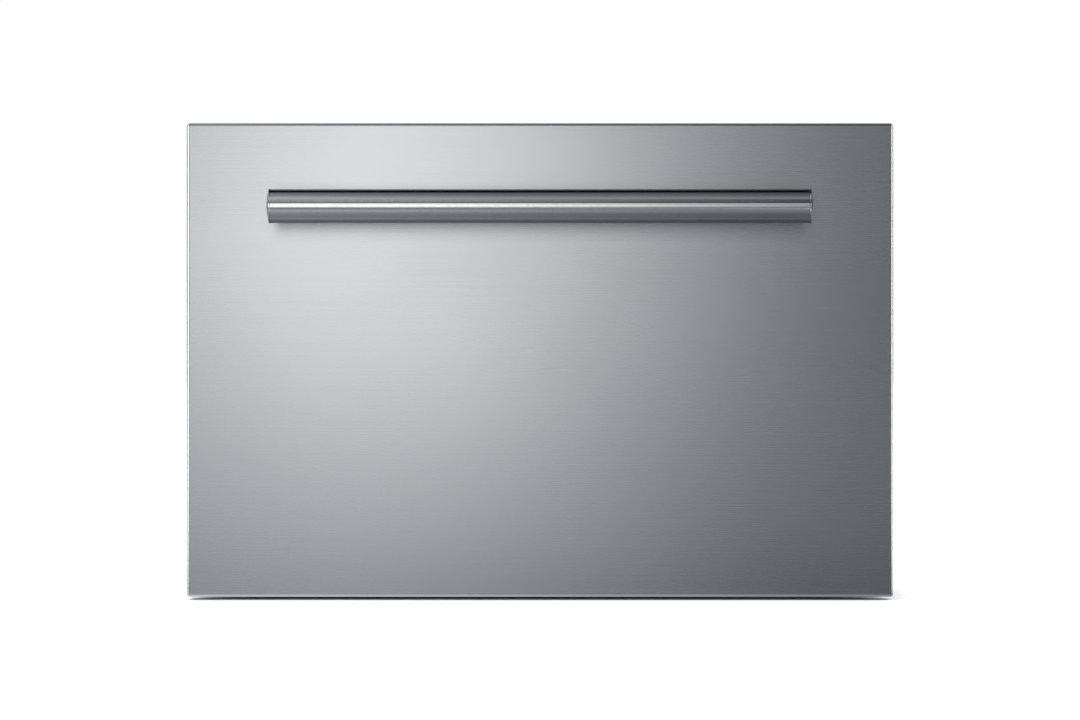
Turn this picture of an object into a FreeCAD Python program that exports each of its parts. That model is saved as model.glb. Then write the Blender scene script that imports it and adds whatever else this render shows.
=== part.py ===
import FreeCAD, Part
import math
import os
from types import SimpleNamespace

import Sketcher

# A built-in wine cooler of one deep drawer. +X is to the right, +Y to the back and +Z up, in millimetres,
# and the drawer opens along -Y. Lengths along Y are counted from the plane where the seal meets the
# cabinet, and at the end every piece is moved back by one length, which puts the origin under the
# middle of the whole object. u and v are the two directions of a sketch.

SIZES = {
    # the stainless steel front and its tubular handle
    "front_width": 597,
    "front_height": 400,
    "front_drop": 5,
    "door_thickness": 38,
    "pan_depth": 30,
    "pan_flange": 10,
    "skin_thickness": 1,
    "skin_bend": 2.5,
    "corner_room": 0.3,
    "skin_inner_bevel": 0.9,
    "handle_length": 454,
    "handle_diameter": 28,
    "handle_wall": 1.5,
    "handle_drop": 72.2,
    "handle_standoff": 52,
    "cap_overhang": 0.3,
    "cap_lip": 3.2,
    "cap_dome": 2,
    "cap_flat": 10,
    "post_inset": 31,
    "post_diameter": 14,
    "screw_diameter": 5,
    "screw_head": 8,
    "screw_head_height": 3.5,
    "screw_bite": 14,
    "post_bore_room": 6,
    "head_room": 1,
    "plate_width": 40,
    "plate_height": 50,
    "plate_thickness": 3,
    # the back of the door and its magnetic seal
    "cover_inset": 6,
    "cover_wall": 2,
    "plateau_rise": 12,
    "plateau_corner": 14,
    "plateau_edge": 4,
    "plateau_side_gap": 12,
    "plateau_end_gap": 6,
    "seal_thickness": 10,
    "seal_outset": 12,
    "seal_base_width": 16,
    "seal_base": 2,
    "seal_neck_width": 6,
    "seal_head_width": 13,
    "seal_head": 5,
    "seal_dart_width": 2.4,
    "seal_dart": 4.5,
    "groove_width": 3,
    "groove_depth": 5,
    "magnet_width": 8,
    "magnet_thickness": 3,
    "magnet_skin": 0.9,
    # the cabinet
    "front_overhang": 4.5,
    "front_rise": 13,
    "side_wall": 44,
    "top_wall": 45,
    "cavity_lift": 45,
    "cavity_corner": 10,
    "back_foam": 40,
    "foot_height": 8,
    "foot_side": 30,
    "foot_inset": 38,
    "case_sheet": 1,
    "case_bend": 2,
    "frame_sheet": 1.5,
    "panel_sheet": 1.2,
    "pan_edge": 12,
    "liner_wall": 2,
    "liner_flange": 18,
    "bracket_inset": 94,
    "bracket_width": 40,
    "bracket_sheet": 1.5,
    "bracket_foot": 30,
    "bracket_reach": 23,
    "bracket_rise": 10,
    "bracket_setback": 5,
    "bracket_hole": 5,
    # the drawer box
    "side_sheet": 1.2,
    "side_bend": 2,
    "side_height": 110,
    "side_lift": 10,
    "side_front_gap": 2,
    "side_setback": 9,
    "ledge_width": 24,
    "ledge_lip": 8,
    "floor_flange": 18,
    "floor_slot_length": 110,
    "floor_slot_width": 6,
    "floor_slot_pitch": 30,
    "floor_slot_rows": 4,
    "floor_slot_start": 120,
    "rear_panel_height": 162,
    "rear_flange": 14,
    "rear_slot_length": 100,
    "rear_slot_width": 6,
    "rear_slot_pitch": 22,
    "rear_slot_rows": 3,
    "slot_gap": 30,
    "front_bracket_sheet": 1.5,
    "front_bracket_width": 26,
    "front_bracket_leg": 48,
    "gallery_diameter": 6,
    "gallery_drop": 10,
    "gallery_inset": 6.6,
    # the beech cradles and the bottles that they are cut for
    "bottle_count": 5,
    "bottle_diameter": 76,
    "bottle_neck": 29,
    "bottle_lift": 10,
    "bottle_room": 2,
    "cradle_thickness": 20,
    "cradle_neck_height": 44,
    "cradle_body_height": 30,
    "cradle_neck_place": 75,
    "cradle_body_place": 250,
    "cradle_side_gap": 4.1,
    "rack_side_gap": 2.5,
    "rack_end_gap": 19,
    "rack_rail_width": 14,
    "rack_rail_height": 34,
    "rack_rail_start": 30,
    "rack_slat_width": 34,
    "rack_slat_thickness": 8,
    "rack_slat_place": 155,
    # the telescopic slides, with u counted in from the cavity wall and v from the slide's own middle
    "slide_rise": 65,
    "slide_start": 8,
    "slide_length": 350,
    "slide_room": 8,
    "slide_stack": 12.7,
    "slide_sheet": 1.2,
    "slide_bend": 1.2,
    "outer_half_height": 22.5,
    "outer_reach": 10.2,
    "middle_sheet": 1.6,
    "middle_half_height": 17.6,
    "middle_set_in": 2.4,
    "middle_reach": 10.8,
    "inner_half_height": 12.2,
    "inner_set_in": 4.8,
    "race_radius": 2.25,
    "outer_race_in": 6.6,
    "inner_race_in": 7.6,
    "cage_sheet": 0.6,
    "cage_length": 170,
    "outer_cage_in": 1.5,
    "outer_cage_reach": 9,
    "inner_cage_in": 3.9,
    "inner_cage_reach": 10,
    # the thermoelectric cooler
    "cooler_rise": 147,
    "duct_width": 340,
    "duct_foot_gap": 27,
    "duct_head_gap": 25,
    "duct_wall": 2,
    "duct_edge": 8,
    "duct_room": 0.7,
    "duct_slot_width": 4,
    "duct_slot_pitch": 10,
    "duct_slot_rows": 7,
    "duct_vent_rows": 3,
    "duct_vent_inset": 16,
    "cold_base_width": 100,
    "cold_base_height": 100,
    "cold_base": 6,
    "cold_fin": 1.6,
    "cold_fin_pitch": 8,
    "cold_fin_count": 12,
    "cold_fin_depth": 20,
    "cold_setback": 2,
    "cold_fan_size": 80,
    "cold_fan_depth": 15,
    "cold_fan_hub": 28,
    "hot_base_width": 180,
    "hot_base_height": 150,
    "hot_base": 8,
    "hot_fin": 2,
    "hot_fin_pitch": 10,
    "hot_fin_count": 15,
    "hot_fin_depth": 66,
    "hot_fan_size": 120,
    "hot_fan_depth": 25,
    "hot_fan_hub": 40,
    "fan_corner": 5,
    "fan_rim": 3,
    "fan_tip_gap": 2.5,
    "fan_blade_count": 5,
    "fan_blade_room": 1.6,
    "fan_blade_root": 3.2,
    "fan_blade_angle": 36,
    "fan_thickness": 0.055,
    "fan_camber": 0.1,
    "fan_strut": 4,
    "fan_strut_bite": 1,
    "fan_strut_count": 3,
    "fan_back": 3,
    "grille_room": 4.5,
    "block_side": 60,
    "block_room": 2,
    "peltier_side": 40,
    "peltier_thickness": 4,
    "supply_width": 100,
    "supply_depth": 70,
    "supply_height": 42,
    "supply_inset": 44,
    "supply_front": 12,
    "supply_slot_count": 7,
    "inlet_inset": 74,
    "inlet_rise": 52,
    "inlet_width": 27,
    "inlet_tall": 20,
    "inlet_depth": 20,
    "inlet_flange": 1.6,
    "inlet_flange_edge": 11,
    "socket_width": 24.4,
    "socket_tall": 16.4,
    "socket_depth": 16,
    "pin_width": 2,
    "pin_tall": 4,
    "pin_length": 13,
    "grille_slot_length": 104,
    "grille_slot_width": 5,
    "grille_slot_pitch": 11,
    "grille_slot_rows": 10,
    # the controls over the opening, and the lamp
    "bezel_width": 180,
    "bezel_thickness": 4,
    "bezel_drop": 3,
    "bezel_room": 3,
    "housing_edge": 5,
    "housing_depth": 22,
    "window_width": 60,
    "window_tall": 10,
    "window_thickness": 1.2,
    "window_sink": 0.3,
    "button_width": 13,
    "button_tall": 9,
    "button_edge": 0.4,
    "button_proud": 0.8,
    "button_travel": 0.8,
    "button_depth": 5.5,
    "power_button_place": -62,
    "up_button_place": 54,
    "down_button_place": 71,
    "lens_width": 120,
    "lens_depth": 18,
    "lens_thickness": 2.5,
    "lens_setback": 20,
    # clearances
    "fit_gap": 0.3,
    "slip_gap": 0.2,
    "foam_gap": 0.6,
    "hole_gap": 0.25,
    "overrun": 1,
}

document = FreeCAD.newDocument("wine_cooler_drawer")
sheet = document.addObject("Spreadsheet::Sheet", "dims")
for row, (name, number) in enumerate(SIZES.items(), 1):
    sheet.set(f"A{row}", name)
    sheet.set(f"B{row}", str(number))
    sheet.setAlias(f"B{row}", name)
document.recompute()


# A size is a number with the formula that it comes from, so that what is drawn with it stays bound
# to the sheet.


class Size:
    def __init__(self, number, formula):
        self.number = number
        self.formula = formula

    def __add__(self, other):
        other = sized(other)
        return Size(self.number + other.number, f"({self.formula} + {other.formula})")

    def __radd__(self, other):
        return sized(other) + self

    def __sub__(self, other):
        other = sized(other)
        return Size(self.number - other.number, f"({self.formula} - {other.formula})")

    def __rsub__(self, other):
        return sized(other) - self

    def __mul__(self, other):
        other = sized(other)
        return Size(self.number * other.number, f"({self.formula} * {other.formula})")

    def __rmul__(self, other):
        return sized(other) * self

    def __truediv__(self, other):
        other = sized(other)
        return Size(self.number / other.number, f"({self.formula} / {other.formula})")

    def __neg__(self):
        return self * -1


def sized(value):
    return value if isinstance(value, Size) else Size(float(value), f"({value})")


def cosine(angle):
    return Size(math.cos(math.radians(angle.number)), f"cos({angle.formula} * 1 deg)")


def sine(angle):
    return Size(math.sin(math.radians(angle.number)), f"sin({angle.formula} * 1 deg)")


s = SimpleNamespace(**{name: Size(float(sheet.get(name)), f"dims.{name}") for name in SIZES})


def bind(thing, prop, size):
    """Give a property its size and the formula that keeps it."""
    thing.setExpression(prop, sized(size).formula)


# Loops, which a sketch is drawn from


def circle(u, v, radius):
    """A circle round (u, v)."""

    def draw(sketch):
        centre = FreeCAD.Vector(sized(u).number, sized(v).number, 0)
        shape = Part.Circle(centre, FreeCAD.Vector(0, 0, 1), sized(radius).number)
        line = sketch.addGeometry(shape, False)
        fix_point(sketch, line, 3, u, v)
        fix_radius(sketch, line, radius)

    return draw


def fix_point(sketch, line, point, u, v):
    for kind, value in (("DistanceX", u), ("DistanceY", v)):
        value = sized(value)
        number = sketch.addConstraint(Sketcher.Constraint(kind, -1, 1, line, point, value.number))
        sketch.setExpression(f"Constraints[{number}]", value.formula)


def fix_radius(sketch, line, radius):
    radius = sized(radius)
    number = sketch.addConstraint(Sketcher.Constraint("Radius", line, radius.number))
    sketch.setExpression(f"Constraints[{number}]", radius.formula)


def outline(*corners):
    """A closed loop through corners (u, v), or (u, v, radius) where square sides meet in a round."""

    def draw(sketch):
        path = []
        for index, corner in enumerate(corners):
            u, v = sized(corner[0]), sized(corner[1])
            if len(corner) == 2:
                path.append(((u, v), None))
                continue
            radius = sized(corner[2])
            arrive = step_towards((u, v), corners[index - 1], radius)
            leave = step_towards((u, v), corners[(index + 1) % len(corners)], radius)
            middle = (arrive[0] + leave[0] - u, arrive[1] + leave[1] - v)
            path.append((arrive, (middle, radius)))
            path.append((leave, None))
        ends = []
        for index, (start, bend) in enumerate(path):
            stop = path[(index + 1) % len(path)][0]
            ends.append(draw_side(sketch, start, stop, bend))
        for index, (line, _, last) in enumerate(ends):
            after, first, _ = ends[(index + 1) % len(ends)]
            sketch.addConstraint(Sketcher.Constraint("Coincident", line, last, after, first))
        for (line, first, _), (start, bend) in zip(ends, path):
            fix_point(sketch, line, first, *start)
            if bend:
                fix_radius(sketch, line, bend[1])

    return draw


def step_towards(corner, other, length):
    """The point that lies a length from a corner, towards the next corner along u or v."""
    du = sized(other[0]).number - corner[0].number
    dv = sized(other[1]).number - corner[1].number
    if abs(du) > abs(dv):
        return corner[0] + length * (1 if du > 0 else -1), corner[1]
    return corner[0], corner[1] + length * (1 if dv > 0 else -1)


def draw_side(sketch, start, stop, bend):
    """A straight side or the arc of a bend, as its number, its first and its last point."""
    first = FreeCAD.Vector(start[0].number, start[1].number, 0)
    last = FreeCAD.Vector(stop[0].number, stop[1].number, 0)
    if not bend:
        return sketch.addGeometry(Part.LineSegment(first, last), False), 1, 2
    middle = FreeCAD.Vector(bend[0][0].number, bend[0][1].number, 0)
    begin = math.atan2(first.y - middle.y, first.x - middle.x)
    end = math.atan2(last.y - middle.y, last.x - middle.x)
    turns_left = (end - begin) % (2 * math.pi) < math.pi
    round_edge = Part.Circle(middle, FreeCAD.Vector(0, 0, 1), bend[1].number)
    limits = (begin, end) if turns_left else (end, begin)
    line = sketch.addGeometry(Part.ArcOfCircle(round_edge, *limits), False)
    return (line, 1, 2) if turns_left else (line, 2, 1)


def block(u0, u1, v0, v1, radius=None):
    """A rectangle, with round corners if a radius is given."""
    corners = [(u0, v0), (u1, v0), (u1, v1), (u0, v1)]
    return outline(*[corner + ((radius,) if radius else ()) for corner in corners])


def hexagon(u, v, across):
    """A hexagon of a width across its flats, with two flats upright."""
    reach = across / math.sqrt(3)
    corners = []
    for step in range(6):
        angle = math.radians(60 * step + 30)
        corners.append((u + reach * math.cos(angle), v + reach * math.sin(angle)))
    return outline(*corners)


def blade_section(middle, chord):
    """A fan blade's section on its slanted chord: cambered, thin at both edges and thickest inside them."""
    angle = s.fan_blade_angle
    camber, thickness = chord * s.fan_camber, chord * s.fan_thickness
    corners = []
    for share, skin in ((0, 0), (1 / 3, 1), (2 / 3, 1), (1, 0), (2 / 3, -1), (1 / 3, -1)):
        along = chord * (share - 0.5)
        rise = camber * (4 * share * (1 - share)) + thickness * (skin / 2)
        back = sine(angle) * along + cosine(angle) * rise
        up = cosine(angle) * along - sine(angle) * rise
        corners.append((middle + back, up))
    return outline(*corners)


def clipped(half, corner):
    """A square round the origin with its corners clipped."""
    near = half - corner
    corners = [(half, -near), (half, near), (near, half), (-near, half)]
    corners += [(-half, near), (-half, -near), (-near, -half), (near, -half)]
    return outline(*corners)


# A piece is one body, made feature by feature.

PLANES = {"x": ("YZ_Plane", 1), "y": ("XZ_Plane", -1), "z": ("XY_Plane", 1)}


class Piece:
    def __init__(self, name):
        self.body = document.addObject("PartDesign::Body", name)
        self.body.Label = name
        self.body.AllowCompound = True

    def origin(self, role):
        return next(item for item in self.body.Origin.OriginFeatures if item.Role == role)

    def add(self, kind, name):
        feature = self.body.newObject(kind, name)
        self.tip = feature
        return feature

    def sketch(self, axis, place, loops):
        """A sketch square to an axis, at a place along it."""
        role, sign = PLANES[axis]
        sketch = self.body.newObject("Sketcher::SketchObject", "profile")
        sketch.AttachmentSupport = [(self.origin(role), "")]
        sketch.MapMode = "FlatFace"
        bind(sketch, "AttachmentOffset.Base.z", sized(place) * sign)
        for loop in loops:
            loop(sketch)
        return sketch

    def pad(self, axis, start, end, *loops):
        """Material from start to end along an axis."""
        profile = self.sketch(axis, start, loops)
        feature = self.add("PartDesign::Pad", "pad")
        feature.Profile = profile
        feature.Reversed = axis == "y"
        bind(feature, "Length", sized(end) - start)
        return feature

    def cut(self, axis, start, end, *loops):
        """A cut from start to end along an axis."""
        profile = self.sketch(axis, start, loops)
        feature = self.add("PartDesign::Pocket", "cut")
        feature.Profile = profile
        feature.Reversed = axis != "y"
        bind(feature, "Length", sized(end) - start)
        return feature

    def revolve(self, *loops):
        """A profile of (x, radius) turned about the piece's own X axis."""
        profile = self.sketch("y", 0, loops)
        feature = self.add("PartDesign::Revolution", "turn")
        feature.Profile = profile
        feature.ReferenceAxis = (self.origin("X_Axis"), [""])
        feature.Angle = 360
        return feature

    def names(self, kind, choose):
        """The names of the edges or faces of the piece so far that a test picks."""
        document.recompute()
        shapes = getattr(self.tip.Shape, kind + "s")
        picked = [f"{kind}{number}" for number, shape in enumerate(shapes, 1) if choose(shape)]
        if not picked:
            raise RuntimeError(f"{self.body.Label} has no {kind} for a {self.tip.Name}")
        return picked

    def dress(self, feature_kind, prop, size, kind, choose):
        names = self.names(kind, choose)
        base = self.tip
        feature = self.add(feature_kind, "dress")
        feature.Base = (base, names)
        bind(feature, prop, size)
        return feature

    def round(self, radius, choose):
        return self.dress("PartDesign::Fillet", "Radius", radius, "Edge", choose)

    def bevel(self, size, choose):
        return self.dress("PartDesign::Chamfer", "Size", size, "Edge", choose)

    def hollow(self, wall, choose):
        """Leave a wall inside the outer faces, with the picked faces open."""
        feature = self.dress("PartDesign::Thickness", "Value", wall, "Face", choose)
        feature.Join = "Intersection"
        feature.Reversed = True
        return feature

    def row(self, axis, count, pitch, *features):
        """Copies of features along an axis."""
        feature = self.add("PartDesign::LinearPattern", "row")
        feature.Originals = list(features)
        feature.Direction = (self.origin(axis.upper() + "_Axis"), [""])
        feature.Mode = "Spacing"
        bind(feature, "Offset", pitch)
        bind(feature, "Occurrences", count)
        self.body.Tip = feature
        return feature

    def turn(self, axis, count, *features):
        """Copies of features round an axis through the piece's own origin."""
        feature = self.add("PartDesign::PolarPattern", "turn")
        feature.Originals = list(features)
        feature.Axis = (self.origin(axis.upper() + "_Axis"), [""])
        feature.Angle = 360
        bind(feature, "Occurrences", count)
        self.body.Tip = feature
        return feature

    def mirror(self, plane="YZ_Plane"):
        """The whole piece and its twin across the middle."""
        feature = self.add("PartDesign::Mirrored", "twin")
        feature.TransformMode = "Whole shape"
        feature.MirrorPlane = (self.origin(plane), [""])
        self.body.Tip = feature
        return feature

    def place(self, x=0, y=0, z=0):
        """Stand the finished piece in the object, moved back to the object's own middle."""
        bind(self.body, "Placement.Base.x", x)
        bind(self.body, "Placement.Base.y", middle_shift + y)
        bind(self.body, "Placement.Base.z", z)
        nodes.append(self.body)


nodes = []


def spans(shape, axis):
    box = shape.BoundBox
    return {"x": (box.XMin, box.XMax), "y": (box.YMin, box.YMax), "z": (box.ZMin, box.ZMax)}[axis]


def lies_at(axis, place):
    """A test for edges or faces that lie wholly at one place along an axis."""
    number = sized(place).number

    def choose(shape):
        low, high = spans(shape, axis)
        return abs(low - number) < 0.001 and abs(high - number) < 0.001

    return choose


# Places that several pieces share

half_front = s.front_width / 2
front_bottom = s.foot_height - s.front_drop
front_top = front_bottom + s.front_height
front_face = -(s.seal_thickness + s.door_thickness)
skin_inside = front_face + s.skin_thickness
pan_back = front_face + s.pan_depth
cover_back = -s.seal_thickness
plateau_back = cover_back + s.plateau_rise
front_corner = s.skin_bend + s.corner_room

bar_height = front_top - s.handle_drop
bar_axis = front_face - s.handle_standoff
bar_radius = s.handle_diameter / 2
half_posts = s.handle_length / 2 - s.post_inset

half_cabinet = half_front - s.front_overhang
cabinet_bottom = s.foot_height
cabinet_top = front_top - s.front_rise
half_cavity = half_cabinet - s.side_wall
cavity_floor = cabinet_bottom + s.cavity_lift
cavity_ceiling = cabinet_top - s.top_wall
slide_middle = cavity_floor + s.slide_rise
cooler_middle = cavity_floor + s.cooler_rise

# From the end of the slides to the back: the duct with the cold fan and sink, foam, then the hot sink and fan

slide_end = s.slide_start + s.slide_length
duct_start = slide_end + s.slide_room
cold_fan_start = duct_start + s.duct_wall + s.duct_room
cold_fin_start = cold_fan_start + s.cold_fan_depth + s.fit_gap
cold_base_start = cold_fin_start + s.cold_fin_depth
cold_base_end = cold_base_start + s.cold_base
cavity_depth = cold_base_end + s.cold_setback
foam_end = cavity_depth + s.back_foam
hot_base_start = foam_end + s.peltier_thickness
hot_fin_start = hot_base_start + s.hot_base
hot_fan_start = hot_fin_start + s.hot_fin_depth + s.fit_gap
cabinet_depth = hot_fan_start + s.hot_fan_depth + s.grille_room + s.panel_sheet

front_reach = bar_radius + s.cap_overhang - bar_axis
back_reach = cabinet_depth + s.inlet_flange
middle_shift = (front_reach - back_reach) / 2


# The front: a folded steel pan, filled with foam and closed by a moulded cover


def front_skin():
    piece = Piece("front_skin")
    box = (-half_front, half_front, front_bottom, front_top)
    piece.pad("y", front_face, pan_back, block(*box, front_corner))
    piece.round(s.skin_bend, lies_at("y", front_face))
    inner = half_front - s.skin_thickness
    low, high = front_bottom + s.skin_thickness, front_top - s.skin_thickness
    inside = block(-inner, inner, low, high, front_corner - s.skin_thickness)
    piece.cut("y", skin_inside, pan_back, inside)
    piece.bevel(s.skin_inner_bevel, lies_at("y", skin_inside))
    edge = s.pan_flange
    opening = block(edge - inner, inner - edge, low + edge, high - edge)
    piece.pad("y", pan_back - s.skin_thickness, pan_back, inside, opening)
    hole = s.screw_diameter / 2 + s.hole_gap
    holes = [circle(place, bar_height, hole) for place in (-half_posts, half_posts)]
    piece.cut("y", front_face - s.overrun, skin_inside + s.overrun, *holes)
    piece.place()


def plate_loop(side, room):
    width, height = s.plate_width / 2 + room, s.plate_height / 2 + room
    middle = half_posts * side
    return block(middle - width, middle + width, bar_height - height, bar_height + height)


def door_foam():
    """The foam fills the pan and the cover, and leaves room for the bends, the plates and the screws."""
    piece = Piece("door_foam")
    gap = s.foam_gap
    wide = half_front - s.skin_thickness - gap
    low = front_bottom + s.skin_thickness + gap
    high = front_top - s.skin_thickness - gap
    pan_end = pan_back - s.skin_thickness - gap
    piece.pad("y", skin_inside, pan_end, block(-wide, wide, low, high))
    piece.bevel(s.skin_bend - s.skin_thickness, lies_at("y", skin_inside))
    edge = s.pan_flange
    cover_inside = cover_back - s.cover_wall - gap
    neck = (edge - wide, wide - edge, low + edge, high - edge)
    piece.pad("y", pan_end, cover_inside, block(*neck))
    room = s.cover_wall + gap
    foam_back = plateau_back - room
    piece.pad("y", cover_inside, foam_back, plateau_loop(room, s.plateau_corner - room))
    piece.bevel(s.plateau_edge, lies_at("y", foam_back))
    side = s.groove_width / 2 + room
    groove_inside = cover_back - s.groove_depth - s.cover_wall - gap
    piece.cut("y", groove_inside, cover_inside, seal_loop(side), seal_loop(-side))
    plates = [plate_loop(place, gap) for place in (-1, 1)]
    piece.cut("y", skin_inside, skin_inside + s.plate_thickness + s.slip_gap, *plates)
    head = s.screw_head / 2 + s.head_room
    head_seat = skin_inside + s.plate_thickness
    heads = []
    for place in (-half_posts, half_posts):
        heads.append(block(place - head, place + head, bar_height - head, bar_height + head))
    piece.cut("y", head_seat, head_seat + s.screw_head_height + gap, *heads)
    piece.place()


def plateau_loop(inset, radius=None):
    """The raised middle of the cover, which stands inside the opening."""
    wide = half_cavity - s.plateau_side_gap - inset
    low = cavity_floor + s.plateau_end_gap + inset
    high = cavity_ceiling - s.plateau_end_gap - inset
    return block(-wide, wide, low, high, radius)


def seal_loop(outset):
    """A rectangle that follows the seal, further out by an outset."""
    out = s.seal_outset + outset
    return block(-(half_cavity + out), half_cavity + out, cavity_floor - out, cavity_ceiling + out)


def door_cover():
    piece = Piece("door_cover")
    wide = half_front - s.cover_inset
    low, high = front_bottom + s.cover_inset, front_top - s.cover_inset
    piece.pad("y", pan_back, cover_back, block(-wide, wide, low, high))
    piece.pad("y", cover_back, plateau_back, plateau_loop(0, s.plateau_corner))
    piece.bevel(s.plateau_edge, lies_at("y", plateau_back))
    side = s.groove_width / 2
    piece.cut("y", cover_back - s.groove_depth, cover_back, seal_loop(side), seal_loop(-side))
    piece.hollow(s.cover_wall, lies_at("y", pan_back))
    piece.place()


def door_seal():
    piece = Piece("door_seal")
    levels = [
        (cover_back - s.seal_dart, cover_back, s.seal_dart_width),
        (cover_back, cover_back + s.seal_base, s.seal_base_width),
        (cover_back + s.seal_base, -s.seal_head, s.seal_neck_width),
        (-s.seal_head, -s.fit_gap, s.seal_head_width),
    ]
    for start, end, width in levels:
        piece.pad("y", start, end, seal_loop(width / 2), seal_loop(-width / 2))
    room = s.magnet_width / 2 + s.slip_gap
    back = -s.fit_gap - s.magnet_skin
    front = back - s.magnet_thickness - s.slip_gap
    piece.cut("y", front, back, seal_loop(room), seal_loop(-room))
    piece.place()


def seal_magnets():
    """Four strips in the tunnel of the seal, which stop short of its corners."""
    piece = Piece("seal_magnets")
    back = -s.fit_gap - s.magnet_skin - s.slip_gap / 2
    front = back - s.magnet_thickness
    half = s.magnet_width / 2
    across, end = half_cavity + s.seal_outset, half_cavity + s.seal_outset - s.magnet_width
    low, high = cavity_floor - s.seal_outset, cavity_ceiling + s.seal_outset
    strips = [block(-end, end, level - half, level + half) for level in (low, high)]
    for side in (-1, 1):
        strip = block(across * side - half, across * side + half, low + s.magnet_width, high - s.magnet_width)
        strips.append(strip)
    piece.pad("y", front, back, *strips)
    piece.place()


# The handle: a tube welded to two coped posts, each pulled against the front by a screw from behind


def handle_bar():
    piece = Piece("handle_bar")
    end = s.handle_length / 2 - s.cap_lip
    inner = bar_radius - s.handle_wall
    piece.pad("x", -end, end, circle(bar_axis, bar_height, bar_radius), circle(bar_axis, bar_height, inner))
    piece.place()


def handle_end_caps():
    piece = Piece("handle_end_caps")
    end = s.handle_length / 2
    rim = bar_radius + s.cap_overhang
    piece.revolve(
        outline(
            (end, 0),
            (end, s.cap_flat),
            (end - s.cap_dome, rim),
            (end - s.cap_lip, rim),
            (end - s.cap_lip, 0),
        )
    )
    piece.mirror()
    piece.place(y=bar_axis, z=bar_height)


def handle_posts():
    piece = Piece("handle_posts")
    piece.pad("y", bar_axis, front_face, circle(half_posts, bar_height, s.post_diameter / 2))
    saddle = circle(bar_axis, bar_height, bar_radius)
    piece.cut("x", half_posts - s.post_diameter, half_posts + s.post_diameter, saddle)
    bore = circle(half_posts, bar_height, s.screw_diameter / 2 + s.hole_gap)
    piece.cut("y", front_face - s.screw_bite - s.post_bore_room, front_face, bore)
    piece.mirror()
    piece.place()


def handle_screws():
    piece = Piece("handle_screws")
    seat = skin_inside + s.plate_thickness
    piece.pad("y", front_face - s.screw_bite, seat, circle(half_posts, bar_height, s.screw_diameter / 2))
    piece.pad("y", seat, seat + s.screw_head_height, hexagon(half_posts, bar_height, s.screw_head))
    piece.mirror()
    piece.place()


def handle_backing_plates():
    piece = Piece("handle_backing_plates")
    hole = circle(half_posts, bar_height, s.screw_diameter / 2 + s.hole_gap)
    piece.pad("y", skin_inside, skin_inside + s.plate_thickness, plate_loop(1, 0), hole)
    piece.mirror()
    piece.place()


# The drawer box: rolled steel sides, a slotted floor and back, and brackets that carry the front

side_face = half_cavity - s.slide_stack
side_inside = side_face - s.side_sheet
side_bottom = cavity_floor + s.side_lift
side_top = side_bottom + s.side_height
floor_top = side_bottom + s.side_sheet * 2
bracket_back = plateau_back + s.front_bracket_sheet
side_start = bracket_back + s.side_front_gap
side_end = slide_end - s.side_setback
rear_start = side_end + s.fit_gap
rear_end = rear_start + s.side_sheet
gallery_side = side_inside - s.gallery_inset
rear_top = side_bottom + s.rear_panel_height
gallery_height = rear_top - s.gallery_drop


def drawer_side(name, side):
    """A channel open to the middle, with a lipped ledge on top that carries the upper rack."""
    piece = Piece(name)
    ledge = side_face - s.ledge_width
    foot = side_face - s.floor_flange
    sheet_gap = s.side_sheet
    bend = s.side_bend
    corners = [
        (side_face, side_bottom, bend),
        (side_face, side_top, bend),
        (ledge, side_top, bend),
        (ledge, side_top - s.ledge_lip),
        (ledge + sheet_gap, side_top - s.ledge_lip),
        (ledge + sheet_gap, side_top - sheet_gap),
        (side_inside, side_top - sheet_gap),
        (side_inside, side_bottom + sheet_gap),
        (foot, side_bottom + sheet_gap),
        (foot, side_bottom),
    ]
    piece.pad("y", side_start, side_end, outline(*[(corner[0] * side,) + corner[1:] for corner in corners]))
    piece.place()


def drawer_floor():
    piece = Piece("drawer_floor")
    wide = side_inside - s.slip_gap
    piece.pad("z", floor_top - s.side_sheet, floor_top, block(-wide, wide, side_start, side_end - s.slip_gap))
    half = s.floor_slot_length / 2
    pitch = s.floor_slot_length + s.slot_gap
    start = s.floor_slot_start
    slots = [
        block(pitch * column - half, pitch * column + half, start, start + s.floor_slot_width)
        for column in (-1, 0, 1)
    ]
    slot = piece.cut("z", floor_top - s.side_sheet - s.overrun, floor_top + s.overrun, *slots)
    piece.row("y", s.floor_slot_rows, s.floor_slot_pitch, slot)
    piece.place()


def drawer_rear_panel():
    piece = Piece("drawer_rear_panel")
    piece.pad("y", rear_start, rear_end, block(-side_face, side_face, side_bottom, rear_top))
    inner, low = side_inside - s.slip_gap, floor_top + s.fit_gap
    high = side_top - s.side_sheet - s.fit_gap
    wings = [
        (inner - s.side_sheet, inner),
        (-inner, s.side_sheet - inner),
    ]
    for start, end in wings:
        piece.pad("x", start, end, block(rear_start - s.rear_flange, rear_start, low, high))
    half = s.rear_slot_length / 2
    pitch = s.rear_slot_length + s.slot_gap
    first = floor_top + s.rear_slot_pitch
    slots = [
        block(pitch * column - half, pitch * column + half, first, first + s.rear_slot_width)
        for column in (-1, 0, 1)
    ]
    slot = piece.cut("y", rear_start - s.overrun, rear_end + s.overrun, *slots)
    piece.row("z", s.rear_slot_rows, s.rear_slot_pitch, slot)
    piece.place()


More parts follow.
